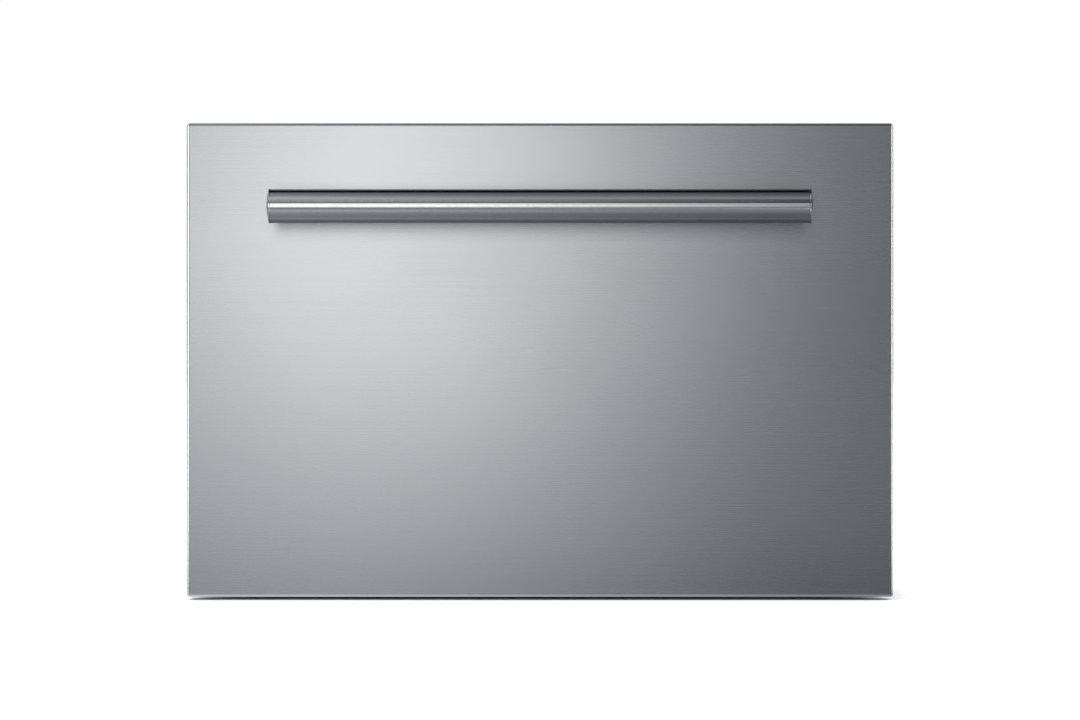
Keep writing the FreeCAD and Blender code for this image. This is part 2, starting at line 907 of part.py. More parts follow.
def front_brackets():
    """Angles that fasten the front to the sides, each with an ear above for the gallery rail."""
    piece = Piece("front_brackets")
    inner, low = side_inside, floor_top + s.fit_gap
    sheet_gap = s.front_bracket_sheet
    bend = sheet_gap * 2
    piece.pad(
        "z",
        low,
        rear_top,
        outline(
            (inner - s.front_bracket_width, plateau_back),
            (inner, plateau_back, bend),
            (inner, plateau_back + s.front_bracket_leg),
            (inner - sheet_gap, plateau_back + s.front_bracket_leg),
            (inner - sheet_gap, bracket_back, sheet_gap),
            (inner - s.front_bracket_width, bracket_back),
        ),
    )
    leg_top = side_top - s.side_sheet - s.fit_gap
    leg_front = plateau_back + bend + s.slip_gap
    leg_back = plateau_back + s.front_bracket_leg
    over = block(leg_front, leg_back + s.overrun, leg_top, rear_top + s.overrun)
    piece.cut("x", inner - s.front_bracket_width, inner + s.overrun, over)
    piece.mirror()
    piece.place()


def gallery_rails():
    """Two rods over the sides, each held between an ear and the rear panel."""
    piece = Piece("gallery_rails")
    rod = circle(gallery_side, gallery_height, s.gallery_diameter / 2)
    piece.pad("y", bracket_back, rear_start, rod)
    piece.mirror()
    piece.place()


# The bottle cradles: a low pair on the drawer floor, and a rack above that lifts out

rack_base = side_top + s.fit_gap
rail_outside = gallery_side - s.gallery_diameter / 2 - s.rack_side_gap
rail_inside = rail_outside - s.rack_rail_width
bottle_pitch = rail_inside * 2 / s.bottle_count


def cradle(name, place, base, height, half_width, radius):
    """A bar scalloped for a row of bottles that lie from front to back."""
    piece = Piece(name)
    end = place + s.cradle_thickness
    piece.pad("y", place, end, block(-half_width, half_width, base, base + height))
    first = -(bottle_pitch * (s.bottle_count - 1) / 2)
    axis = base + s.bottle_lift + s.bottle_diameter / 2
    scallop = piece.cut("y", place - s.overrun, end + s.overrun, circle(first, axis, radius))
    piece.row("x", s.bottle_count, bottle_pitch, scallop)
    piece.place()


def lower_cradles():
    neck, body = s.bottle_neck / 2 + s.bottle_room, s.bottle_diameter / 2 + s.bottle_room
    half = side_inside - s.cradle_side_gap
    cradle("lower_neck_cradle", s.cradle_neck_place, floor_top, s.cradle_neck_height, half, neck)
    cradle("lower_body_cradle", s.cradle_body_place, floor_top, s.cradle_body_height, half, body)


def upper_cradles():
    neck, body = s.bottle_neck / 2 + s.bottle_room, s.bottle_diameter / 2 + s.bottle_room
    half = rail_inside
    cradle("upper_neck_cradle", s.cradle_neck_place, rack_base, s.cradle_neck_height, half, neck)
    cradle("upper_body_cradle", s.cradle_body_place, rack_base, s.cradle_body_height, half, body)


def upper_rack_rails():
    piece = Piece("upper_rack_rails")
    loop = block(rail_inside, rail_outside, rack_base, rack_base + s.rack_rail_height)
    piece.pad("y", s.rack_rail_start, side_end - s.rack_end_gap, loop)
    piece.mirror()
    piece.place()


def upper_rack_slat():
    """The flat board between the rails that keeps the rack square."""
    piece = Piece("upper_rack_slat")
    loop = block(-rail_inside, rail_inside, rack_base, rack_base + s.rack_slat_thickness)
    piece.pad("y", s.rack_slat_place, s.rack_slat_place + s.rack_slat_width, loop)
    piece.place()


# The telescopic slides: three nested channels with grooved races, and two strips that keep the balls apart


def slide_races():
    """The centre of each race as (u, v), for the outer and the inner pair of ball rows."""
    outer = (s.outer_half_height - s.slide_sheet + s.middle_half_height) / 2
    inner = (s.middle_half_height - s.middle_sheet + s.inner_half_height) / 2
    return (s.outer_race_in, outer), (s.inner_race_in, inner)


def slide_channel(name, side, web, mouth, half_height, walls, races):
    """A channel from its web to its mouth, both counted in from the cavity wall, with ball races."""
    piece = Piece(name)
    web_sheet, flange_sheet = walls
    inward = 1 if mouth.number > web.number else -1
    web_end = web + web_sheet * inward
    inner = half_height - flange_sheet
    corners = [
        (web, -half_height, s.slide_bend),
        (mouth, -half_height),
        (mouth, -inner),
        (web_end, -inner),
        (web_end, inner),
        (mouth, inner),
        (mouth, half_height),
        (web, half_height, s.slide_bend),
    ]
    loop = outline(
        *[((half_cavity - corner[0]) * side, slide_middle + corner[1]) + corner[2:] for corner in corners]
    )
    piece.pad("y", s.slide_start, slide_end, loop)
    for race_in, race_up in races:
        across = (half_cavity - race_in) * side
        grooves = [circle(across, slide_middle + race_up * up, s.race_radius) for up in (-1, 1)]
        piece.cut("y", s.slide_start - s.overrun, slide_end + s.overrun, *grooves)
    piece.place()


def slides(word, side):
    outer_race, inner_race = slide_races()
    sheet_pair = (s.slide_sheet, s.slide_sheet)
    slide_channel(
        f"slide_outer_{word}", side, sized(0), s.outer_reach, s.outer_half_height, sheet_pair, [outer_race]
    )
    middle_pair = (s.slide_sheet, s.middle_sheet)
    slide_channel(
        f"slide_middle_{word}",
        side,
        s.middle_set_in,
        s.middle_reach,
        s.middle_half_height,
        middle_pair,
        [outer_race, inner_race],
    )
    slide_channel(
        f"slide_inner_{word}",
        side,
        s.slide_stack,
        s.inner_set_in,
        s.inner_half_height,
        sheet_pair,
        [inner_race],
    )


def ball_cage(name, race, web, mouth):
    """A thin channel in each slide, with its two edges between the races."""
    piece = Piece(name)
    half = race[1] + s.cage_sheet / 2
    inner = race[1] - s.cage_sheet / 2
    corners = [
        (web, -half),
        (mouth, -half),
        (mouth, -inner),
        (web + s.cage_sheet, -inner),
        (web + s.cage_sheet, inner),
        (mouth, inner),
        (mouth, half),
        (web, half),
    ]
    loop = outline(*[(half_cavity - corner[0], slide_middle + corner[1]) for corner in corners])
    start = s.slide_start + (s.slide_length - s.cage_length) / 2
    piece.pad("y", start, start + s.cage_length, loop)
    piece.mirror()
    piece.place()


def ball_cages():
    outer_race, inner_race = slide_races()
    ball_cage("ball_cages_outer", outer_race, s.outer_cage_in, s.outer_cage_reach)
    ball_cage("ball_cages_inner", inner_race, s.inner_cage_in, s.inner_cage_reach)


# The cabinet: a folded steel case round a moulded liner and its foam

inside_top = cabinet_top - s.case_sheet
case_inside = half_cabinet - s.case_sheet
pan_top = cabinet_bottom + s.panel_sheet
pan_outside = case_inside - s.slip_gap
back_start = cabinet_depth - s.panel_sheet


def cabinet_case():
    piece = Piece("cabinet_case")
    outer, bend = half_cabinet, s.case_bend
    piece.pad(
        "y",
        s.frame_sheet,
        back_start,
        outline(
            (-outer, cabinet_bottom),
            (-outer, cabinet_top, bend),
            (outer, cabinet_top, bend),
            (outer, cabinet_bottom),
            (case_inside, cabinet_bottom),
            (case_inside, inside_top, bend - s.case_sheet),
            (-case_inside, inside_top, bend - s.case_sheet),
            (-case_inside, cabinet_bottom),
        ),
    )
    piece.place()


def base_pan():
    piece = Piece("base_pan")
    outer, inner = pan_outside, pan_outside - s.panel_sheet
    edge = cabinet_bottom + s.pan_edge
    piece.pad(
        "y",
        s.frame_sheet,
        back_start,
        outline(
            (-outer, cabinet_bottom),
            (outer, cabinet_bottom),
            (outer, edge),
            (inner, edge),
            (inner, pan_top),
            (-inner, pan_top),
            (-inner, edge),
            (-outer, edge),
        ),
    )
    piece.place()


def cabinet_feet():
    """Square rubber pads at the four corners."""
    piece = Piece("cabinet_feet")
    wide, half = half_cabinet - s.foot_inset, s.foot_side / 2
    ends = (s.foot_inset, cabinet_depth - s.foot_inset)
    feet = [block(wide - half, wide + half, end - half, end + half) for end in ends]
    piece.pad("z", 0, s.foot_height, *feet)
    piece.mirror()
    piece.place()


def cavity_loop(outset, radius=None):
    low, high = cavity_floor - outset, cavity_ceiling + outset
    return block(-half_cavity - outset, half_cavity + outset, low, high, radius)


def front_frame():
    piece = Piece("front_frame")
    outer = block(-half_cabinet, half_cabinet, cabinet_bottom, cabinet_top)
    piece.pad("y", 0, s.frame_sheet, outer, cavity_loop(0, s.cavity_corner))
    piece.cut("y", -s.overrun, s.frame_sheet + s.overrun, housing_loop(s.slip_gap))
    piece.place()


def cabinet_liner():
    piece = Piece("cabinet_liner")
    start = s.frame_sheet
    corner = s.cavity_corner + s.liner_wall
    back = cavity_depth + s.liner_wall
    piece.pad("y", start, back, cavity_loop(s.liner_wall, corner))
    piece.hollow(s.liner_wall, lies_at("y", start))
    flange = cavity_loop(s.liner_flange)
    piece.pad("y", start, start + s.liner_wall, flange, cavity_loop(0, s.cavity_corner))
    piece.cut("y", cavity_depth - s.overrun, back + s.overrun, block_hole())
    piece.place()


def cooler_loop(width, height):
    """A rectangle round the axis of the cooler."""
    half, rise = width / 2, height / 2
    return block(-half, half, cooler_middle - rise, cooler_middle + rise)


def block_hole():
    side = s.block_side + s.block_room * 2
    return cooler_loop(side, side)


def cabinet_foam():
    """The foam between the case and the liner, stepped over the edges of the base pan."""
    piece = Piece("cabinet_foam")
    gap = s.fit_gap
    low, step = pan_top + s.slip_gap, cabinet_bottom + s.pan_edge + gap
    top = inside_top - gap
    narrow, wide = pan_outside - s.panel_sheet - gap, case_inside - gap
    start = s.frame_sheet + s.liner_wall + s.slip_gap
    piece.pad(
        "y",
        start,
        foam_end,
        outline(
            (-narrow, low),
            (narrow, low),
            (narrow, step),
            (wide, step),
            (wide, top),
            (-wide, top),
            (-wide, step),
            (-narrow, step),
        ),
    )
    piece.cut("y", start, cavity_depth + s.liner_wall + gap, cavity_loop(s.liner_wall + gap))
    side = s.block_side + gap * 2
    piece.cut("y", cavity_depth, foam_end, cooler_loop(side, side))
    piece.cut("y", start, s.housing_depth + gap, housing_loop(gap))
    piece.place()


def bulkhead():
    """The sheet that closes the foam at the back, with a hole for the heat pump."""
    piece = Piece("bulkhead")
    wide = pan_outside - s.panel_sheet - s.fit_gap
    low, high = pan_top + s.slip_gap, inside_top - s.fit_gap
    sheet_end = foam_end + s.panel_sheet
    piece.pad("y", foam_end, sheet_end, block(-wide, wide, low, high), block_hole())
    piece.place()


def centred_start(middle, count, pitch, width):
    """Where the first of a row of slots starts, so that the whole row is centred."""
    return middle - (pitch * (count - 1) + width) / 2


def rear_panel():
    piece = Piece("rear_panel")
    outer = block(-half_cabinet, half_cabinet, cabinet_bottom, cabinet_top)
    hole = around_inlet(s.inlet_width + s.slip_gap * 2, s.inlet_tall + s.slip_gap * 2)
    piece.pad("y", back_start, cabinet_depth, outer, hole)
    half, width = s.grille_slot_length / 2, s.grille_slot_width
    first = centred_start(cooler_middle, s.grille_slot_rows, s.grille_slot_pitch, width)
    loop = block(-half, half, first, first + width)
    slot = piece.cut("y", back_start - s.overrun, cabinet_depth + s.overrun, loop)
    piece.row("z", s.grille_slot_rows, s.grille_slot_pitch, slot)
    piece.place()


def worktop_brackets():
    """Steel steps on the case, with a hole each for a screw up into the worktop."""
    piece = Piece("worktop_brackets")
    low, sheet_gap = cabinet_top, s.bracket_sheet
    high = low + s.bracket_rise + sheet_gap
    front = s.bracket_setback
    riser = front + s.bracket_reach
    half, middle = s.bracket_width / 2, half_cabinet - s.bracket_inset
    piece.pad(
        "x",
        middle - half,
        middle + half,
        outline(
            (front, high),
            (front, high - sheet_gap),
            (riser, high - sheet_gap),
            (riser, low),
            (riser + s.bracket_foot, low),
            (riser + s.bracket_foot, low + sheet_gap),
            (riser + sheet_gap, low + sheet_gap),
            (riser + sheet_gap, high),
        ),
    )
    hole = circle(middle, front + s.bracket_reach / 2, s.bracket_hole / 2)
    piece.cut("z", high - sheet_gap - s.overrun, high + s.overrun, hole)
    piece.mirror()
    piece.place()


# The cooler, from the cold air duct in the cavity to the hot fan at the back


def duct_cover():
    """A moulded cover with slots before the fan, and vents above and below that let the cold air out."""
    piece = Piece("duct_cover")
    end = cavity_depth - s.slip_gap
    low, high = cavity_floor + s.duct_foot_gap, cavity_ceiling - s.duct_head_gap
    piece.pad("y", duct_start, end, block(-(s.duct_width / 2), s.duct_width / 2, low, high))
    piece.bevel(s.duct_edge, lies_at("y", duct_start))
    piece.hollow(s.duct_wall, lies_at("y", end))
    front, inside = duct_start - s.overrun, duct_start + s.duct_wall + s.overrun
    pitch, width = s.duct_slot_pitch, s.duct_slot_width
    half = s.cold_fan_size / 2 - s.fan_rim
    first = centred_start(cooler_middle, s.duct_slot_rows, pitch, width)
    slot = piece.cut("y", front, inside, block(-half, half, first, first + width))
    piece.row("z", s.duct_slot_rows, pitch, slot)
    lowest = low + s.duct_vent_inset
    highest = high - s.duct_vent_inset - width - pitch * (s.duct_vent_rows - 1)
    vents = [block(-half, half, level, level + width) for level in (lowest, highest)]
    vent = piece.cut("y", front, inside, *vents)
    piece.row("z", s.duct_vent_rows, pitch, vent)
    piece.place()


def finned_sink(name, width, height, base, fins, fin_count, fin_pitch, fin_sheet):
    """An extruded heat sink: a plate and a row of upright fins."""
    piece = Piece(name)
    piece.pad("y", base[0], base[1], cooler_loop(width, height))
    first = centred_start(0, fin_count, fin_pitch, fin_sheet)
    low, high = cooler_middle - height / 2, cooler_middle + height / 2
    fin = piece.pad("y", fins[0], fins[1], block(first, first + fin_sheet, low, high))
    piece.row("x", fin_count, fin_pitch, fin)
    piece.place()


def heat_sinks():
    finned_sink(
        "cold_sink",
        s.cold_base_width,
        s.cold_base_height,
        (cold_base_start, cold_base_end),
        (cold_fin_start, cold_base_start),
        s.cold_fin_count,
        s.cold_fin_pitch,
        s.cold_fin,
    )
    finned_sink(
        "hot_sink",
        s.hot_base_width,
        s.hot_base_height,
        (hot_base_start, hot_fin_start),
        (hot_fin_start, hot_fin_start + s.hot_fin_depth),
        s.hot_fin_count,
        s.hot_fin_pitch,
        s.hot_fin,
    )


def fan_frame(name, start, end, size, hub):
    """A square frame round the blades, with struts that carry the motor at its back."""
    piece = Piece(name)
    half = size / 2
    bore = half - s.fan_rim
    piece.pad("y", start, end, clipped(half, s.fan_corner), circle(0, 0, bore))
    back = end - s.fan_back
    piece.pad("y", back, end, circle(0, 0, hub / 2))
    bite = s.fan_strut_bite
    strut = block(hub / 2 - bite, bore + bite, -(s.fan_strut / 2), s.fan_strut / 2)
    arm = piece.pad("y", back, end, strut)
    piece.turn("y", s.fan_strut_count, arm)
    piece.place(z=cooler_middle)


def fan_rotor(name, start, end, size, hub):
    """A hub with pitched, cambered blades."""
    piece = Piece(name)
    front = start + s.fan_back / 2
    back = end - s.fan_back - s.fit_gap
    middle = (front + back) / 2
    radius = hub / 2
    tip = size / 2 - s.fan_rim - s.fan_tip_gap
    piece.pad("y", front, back, circle(0, 0, radius))
    chord = (back - front - s.fan_blade_room * 2) / sine(s.fan_blade_angle)
    blade = piece.pad("x", radius - s.fan_blade_root, tip, blade_section(middle, chord))
    piece.turn("y", s.fan_blade_count, blade)
    piece.place(z=cooler_middle)


def fans():
    cold = (cold_fan_start, cold_fan_start + s.cold_fan_depth, s.cold_fan_size, s.cold_fan_hub)
    hot = (hot_fan_start, hot_fan_start + s.hot_fan_depth, s.hot_fan_size, s.hot_fan_hub)
    for word, sizes in (("cold", cold), ("hot", hot)):
        fan_frame(f"{word}_fan_frame", *sizes)
        fan_rotor(f"{word}_fan_rotor", *sizes)


def heat_pump():
    """The aluminium block through the foam, and the thermoelectric tile behind it."""
    piece = Piece("transfer_block")
    piece.pad("y", cold_base_end, foam_end, cooler_loop(s.block_side, s.block_side))
    piece.place()
    tile = Piece("peltier_tile")
    tile.pad("y", foam_end, hot_base_start, cooler_loop(s.peltier_side, s.peltier_side))
    tile.place()


def power_supply():
    """A vented steel box on the base pan."""
    piece = Piece("power_supply")
    start = foam_end + s.supply_front
    end = start + s.supply_depth
    right = half_cabinet - s.supply_inset
    left = right - s.supply_width
    low, high = pan_top, pan_top + s.supply_height
    piece.pad("z", low, high, block(left, right, start, end))
    piece.hollow(s.case_sheet, lies_at("z", low))
    pitch, width = s.grille_slot_pitch, s.grille_slot_width
    first = centred_start((left + right) / 2, s.supply_slot_count, pitch, width)
    loop = block(first, first + width, start + pitch, end - pitch)
    slot = piece.cut("z", high - s.case_sheet - s.overrun, high + s.overrun, loop)
    piece.row("x", s.supply_slot_count, pitch, slot)
    piece.place()


inlet_height = cabinet_bottom + s.inlet_rise
inlet_side = half_cabinet - s.inlet_inset


def around_inlet(width, tall):
    half, rise = width / 2, tall / 2
    return block(-inlet_side - half, half - inlet_side, inlet_height - rise, inlet_height + rise)


def power_inlet():
    """A three-pin appliance inlet, flanged against the rear panel."""
    piece = Piece("power_inlet")
    mouth = cabinet_depth + s.inlet_flange
    edge = s.inlet_flange_edge
    flange = around_inlet(s.inlet_width + edge * 2, s.inlet_tall + edge)
    piece.pad("y", cabinet_depth - s.inlet_depth, cabinet_depth, around_inlet(s.inlet_width, s.inlet_tall))
    piece.pad("y", cabinet_depth, mouth, flange)
    floor = mouth - s.socket_depth
    piece.cut("y", floor, mouth, around_inlet(s.socket_width, s.socket_tall))
    pins = []
    for across, up in ((-1, -1), (0, 1), (1, -1)):
        middle = s.socket_width / 4 * across - inlet_side
        level = inlet_height + s.pin_tall / 2 * up
        half, rise = s.pin_width / 2, s.pin_tall / 2
        pins.append(block(middle - half, middle + half, level - rise, level + rise))
    piece.pad("y", floor, floor + s.pin_length, *pins)
    piece.place()


# The control strip on the rail over the opening, which the closed front hides, and the lamp

bezel_top = cabinet_top - s.bezel_drop
bezel_bottom = cavity_ceiling + s.seal_outset + s.seal_base_width / 2 + s.bezel_room
bezel_middle = (bezel_top + bezel_bottom) / 2


def housing_loop(room):
    half = s.bezel_width / 2 - s.housing_edge + room
    rise = (bezel_top - bezel_bottom - s.housing_edge) / 2 + room
    return block(-half, half, bezel_middle - rise, bezel_middle + rise)


def window_loop(room):
    half, rise = s.window_width / 2 + room, s.window_tall / 2 + room
    return block(-half, half, bezel_middle - rise, bezel_middle + rise)


BUTTON_PLACES = {
    "button_power": s.power_button_place,
    "button_up": s.up_button_place,
    "button_down": s.down_button_place,
}


def button_loop(place, room):
    half, rise = s.button_width / 2 + room, s.button_tall / 2 + room
    return block(place - half, place + half, bezel_middle - rise, bezel_middle + rise)


def control_bezel():
    piece = Piece("control_bezel")
    half = s.bezel_width / 2
    piece.pad("y", -s.bezel_thickness, 0, block(-half, half, bezel_bottom, bezel_top))
    piece.pad("y", 0, s.housing_depth, housing_loop(0))
    sink = s.window_thickness + s.window_sink
    piece.cut("y", -s.bezel_thickness, sink - s.bezel_thickness, window_loop(s.slip_gap))
    wells = [button_loop(place, s.fit_gap) for place in BUTTON_PLACES.values()]
    room = s.button_depth - s.button_proud + s.button_travel + s.fit_gap
    piece.cut("y", -s.bezel_thickness, room - s.bezel_thickness, *wells)
    piece.place()


def display_window():
    piece = Piece("display_window")
    back = s.window_thickness + s.window_sink - s.bezel_thickness
    piece.pad("y", back - s.window_thickness, back, window_loop(0))
    piece.place()


def buttons():
    for name, place in BUTTON_PLACES.items():
        piece = Piece(name)
        front = -s.bezel_thickness - s.button_proud
        piece.pad("y", front, front + s.button_depth, button_loop(place, 0))
        piece.bevel(s.button_edge, lies_at("y", front))
        piece.place()


def lamp_lens():
    piece = Piece("lamp_lens")
    half = s.lens_width / 2
    low = cavity_ceiling - s.lens_thickness
    piece.pad("z", low, cavity_ceiling, block(-half, half, s.lens_setback, s.lens_setback + s.lens_depth))
    piece.bevel(s.lens_thickness / 2, lies_at("z", low))
    piece.place()


front_skin()
door_foam()
door_cover()
door_seal()
seal_magnets()
handle_bar()
handle_end_caps()
handle_posts()
handle_screws()
handle_backing_plates()
for word, side in (("left", -1), ("right", 1)):
    drawer_side(f"drawer_side_{word}", side)
    slides(word, side)
drawer_floor()
drawer_rear_panel()
front_brackets()
gallery_rails()
lower_cradles()
upper_cradles()
upper_rack_rails()
upper_rack_slat()
ball_cages()
cabinet_case()
base_pan()
cabinet_feet()
front_frame()
cabinet_liner()
cabinet_foam()
bulkhead()
rear_panel()
worktop_brackets()
duct_cover()
heat_sinks()
fans()
heat_pump()
power_supply()
power_inlet()
control_bezel()
display_window()
buttons()
lamp_lens()
document.recompute()

# Nothing is written unless every feature is sound and every cut and pad did its work.

for item in document.Objects:
    if "Invalid" in item.State or "Error" in item.State:
        raise RuntimeError(f"{item.Name} of {item.Label} failed: {item.State}")
for item in document.Objects:
    before = getattr(item, "BaseFeature", None)
    if item.TypeId not in ("PartDesign::Pad", "PartDesign::Pocket") or before is None:
        continue
    change = item.Shape.Volume - before.Shape.Volume
    if (change >= 0) == (item.TypeId == "PartDesign::Pocket"):
        raise RuntimeError(f"{item.Name} changes nothing")
for body in nodes:
    shape = body.Shape
    if shape.isNull() or not shape.isValid() or not shape.Solids:
        raise RuntimeError(f"{body.Label} is not a sound solid")

os.makedirs("parts", exist_ok=True)
for body in nodes:
    body.Shape.exportStep(f"parts/{body.Label}.step")
print(len(nodes), "pieces")
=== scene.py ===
import bpy
import mathutils
import numpy as np
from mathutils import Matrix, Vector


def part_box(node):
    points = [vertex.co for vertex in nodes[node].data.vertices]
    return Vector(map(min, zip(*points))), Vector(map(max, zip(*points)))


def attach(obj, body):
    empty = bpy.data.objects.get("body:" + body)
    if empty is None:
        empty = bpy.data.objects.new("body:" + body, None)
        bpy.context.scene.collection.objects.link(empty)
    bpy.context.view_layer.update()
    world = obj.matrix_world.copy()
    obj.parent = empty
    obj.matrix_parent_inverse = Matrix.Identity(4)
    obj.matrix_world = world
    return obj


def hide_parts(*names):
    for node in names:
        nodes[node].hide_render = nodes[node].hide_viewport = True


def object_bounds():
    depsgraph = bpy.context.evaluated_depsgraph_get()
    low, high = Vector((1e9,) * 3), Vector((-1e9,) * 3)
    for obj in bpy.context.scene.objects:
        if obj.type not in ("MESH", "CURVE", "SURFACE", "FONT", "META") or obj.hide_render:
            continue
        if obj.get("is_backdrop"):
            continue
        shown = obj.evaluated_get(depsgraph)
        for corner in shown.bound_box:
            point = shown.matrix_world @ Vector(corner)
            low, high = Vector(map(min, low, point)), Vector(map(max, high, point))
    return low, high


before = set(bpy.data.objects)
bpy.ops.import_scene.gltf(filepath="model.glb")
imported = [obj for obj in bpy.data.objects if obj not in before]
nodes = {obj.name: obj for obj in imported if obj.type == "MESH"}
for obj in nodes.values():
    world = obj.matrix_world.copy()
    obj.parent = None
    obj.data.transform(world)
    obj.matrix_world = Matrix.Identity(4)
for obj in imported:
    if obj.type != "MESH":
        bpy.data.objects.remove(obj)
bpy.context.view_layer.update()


# The front: one sheet of stainless steel 1 mm thick, folded back at its four edges and brushed along its
# width. The brush leaves level scratches finer than a hair, which smear what the steel mirrors up and down.


class Finish:
    """A material whose one shader is fed by nodes that its methods add, over the piece's own coordinates."""

    def __init__(self, name, constants):
        self.material = bpy.data.materials.new(name)
        self.material.use_nodes = True
        self.tree = self.material.node_tree
        self.shader = self.tree.nodes["Principled BSDF"]
        self.relief = None
        for socket, value in constants.items():
            self.join(self.shader.inputs[socket], value)

    def join(self, socket, value):
        """Set a socket to a number or colour, or link it to another node's output."""
        if isinstance(value, bpy.types.NodeSocket):
            self.tree.links.new(value, socket)
        elif socket.type == "RGBA":
            socket.default_value = (*value[:3], 1)
        else:
            socket.default_value = value

    def add(self, kind, inputs=(), **settings):
        """One more node, with its settings, and with its inputs set or linked."""
        node = self.tree.nodes.new("ShaderNode" + kind)
        for name, value in settings.items():
            setattr(node, name, value)
        for socket, value in dict(inputs).items():
            self.join(node.inputs[socket], value)
        return node

    def place(self, stretch, moved=(0, 0, 0)):
        """The piece's coordinates in metres, times a stretch along each axis and then moved."""
        own = self.add("TexCoord").outputs["Object"]
        return self.add("Mapping", {"Vector": own, "Location": moved, "Scale": stretch}).outputs["Vector"]

    def grain(self, stretch, detail=2, rough=0.5, warp=0):
        """Noise from 0 to 1 that repeats about stretch times in a metre along each axis."""
        inputs = {"Vector": self.place(stretch), "Scale": 1, "Detail": detail, "Roughness": rough}
        return self.add("TexNoise", {**inputs, "Distortion": warp}).outputs["Fac"]

    def between(self, share, low, high, start=0.3, stop=0.7):
        """A number that goes from low to high as a share goes from start to stop, and is level outside."""
        inputs = {"Value": share, "From Min": start, "From Max": stop, "To Min": low, "To Max": high}
        return self.add("MapRange", inputs).outputs["Result"]

    def tint(self, share, first, second):
        """A colour between two colours."""
        return self.add("Mix", {0: share, 6: first, 7: second}, data_type="RGBA").outputs[2]

    def work(self, kind, *values):
        """One step of arithmetic."""
        return self.add("Math", dict(enumerate(values)), operation=kind).outputs[0]

    def feed(self, socket, value):
        """Set or link one of the shader's own sockets."""
        self.join(self.shader.inputs[socket], value)

    def emboss(self, height, depth):
        """Raise the surface by a height from 0 to 1 times a depth in metres, over what is raised already."""
        bump = self.add("Bump", {"Height": height, "Distance": depth})
        if self.relief:
            self.join(bump.inputs["Normal"], self.relief)
        self.relief = bump.outputs["Normal"]
        self.feed("Normal", self.relief)

    def soften(self, radius):
        """Shade sharp edges as if they were rounded by a radius."""
        self.relief = self.add("Bevel", {"Radius": radius}, samples=4).outputs["Normal"]
        self.feed("Normal", self.relief)

    def cover(self, *names):
        """Put the material on CAD nodes."""
        for name in names:
            nodes[name].material_slots[0].material = self.material


front_steel = Finish("brushed_front", {"Metallic": 1, "Anisotropic": 0.6, "Anisotropic Rotation": 0.25})
hairline = front_steel.grain((6, 3200, 3200), detail=3, rough=0.6)
streak = front_steel.grain((1.6, 900, 900), detail=4, rough=0.65)
smudge = front_steel.grain((5, 5, 7), detail=3)
lines = front_steel.work("MULTIPLY_ADD", streak, 0.35, front_steel.work("MULTIPLY", hairline, 0.65))
front_steel.feed("Base Color", front_steel.tint(lines, (0.631, 0.643, 0.661), (0.664, 0.677, 0.694)))
scratched = front_steel.between(lines, 0.255, 0.285)
front_steel.feed("Roughness", front_steel.work("ADD", scratched, front_steel.between(smudge, -0.012, 0.012)))
front_steel.emboss(hairline, 0.0000005)
front_steel.cover("front_skin")


# The handle's tube: stainless steel with a wall of 1.5 mm, cut to length and chamfered, and ground all
# round, so that its scratches run round it and what it mirrors stays sharp from top to bottom.


def outward(vertices, faces):
    """The faces, turned over if the volume that they enclose, a sixth of the sum over their triangles of
    corner . (corner x corner), comes out negative."""
    a, b, c, d = (vertices[faces[:, k]] for k in range(4))
    volume = np.einsum("ij,ij->", a, np.cross(b, c)) + np.einsum("ij,ij->", a, np.cross(c, d))
    return faces if volume > 0 else faces[:, ::-1]


def skin(rows, start=None, stop=None, looped=False):
    """A surface over rings of points, of shape (rings, columns, 3). Each ring closes on itself and is joined
    to the next, the last one to the first if looped. A start or stop point closes an end with triangles,
    which are held as four corners with one of them twice."""
    count, columns, _ = rows.shape
    index = np.arange(count * columns).reshape(count, columns)
    right = np.roll(index, -1, axis=1)
    after, after_right = np.roll(index, -1, axis=0), np.roll(right, -1, axis=0)
    quads = np.stack([index, right, after_right, after], axis=-1)
    faces = [(quads if looped else quads[:-1]).reshape(-1, 4)]
    vertices = [rows.reshape(-1, 3)]
    for point, ring, ring_right in ((start, right[0], index[0]), (stop, index[-1], right[-1])):
        if point is not None:
            tip = np.full(columns, sum(len(part) for part in vertices))
            vertices.append(np.array([point], float))
            faces.append(np.stack([ring, ring_right, tip, tip], axis=-1))
    vertices, faces = np.concatenate(vertices), np.concatenate(faces)
    return vertices, outward(vertices, faces)


def turned(profile, axis, middle, columns=48, looped=False):
    """A profile of (along, radius) turned about an axis: each ring's points are the middle plus along on that
    axis, and plus radius times the cosine and the sine of the angle on the next two. A radius of 0 at
    an end of the profile becomes a pole."""
    profile = np.array(profile, float)
    angle = np.linspace(0, 2 * np.pi, columns, endpoint=False)
    along, radius = profile[:, :1], profile[:, 1:]
    spread = [along + 0 * angle, radius * np.cos(angle), radius * np.sin(angle)]
    rows = np.empty((len(profile), columns, 3))
    for step, values in enumerate(spread):
        rows[..., (axis + step) % 3] = values
    rows += middle
    start = rows[0, 0] if profile[0, 1] == 0 else None
    stop = rows[-1, 0] if profile[-1, 1] == 0 else None
    kept = rows[0 if start is None else 1:None if stop is None else -1]
    return skin(kept, start, stop, looped)


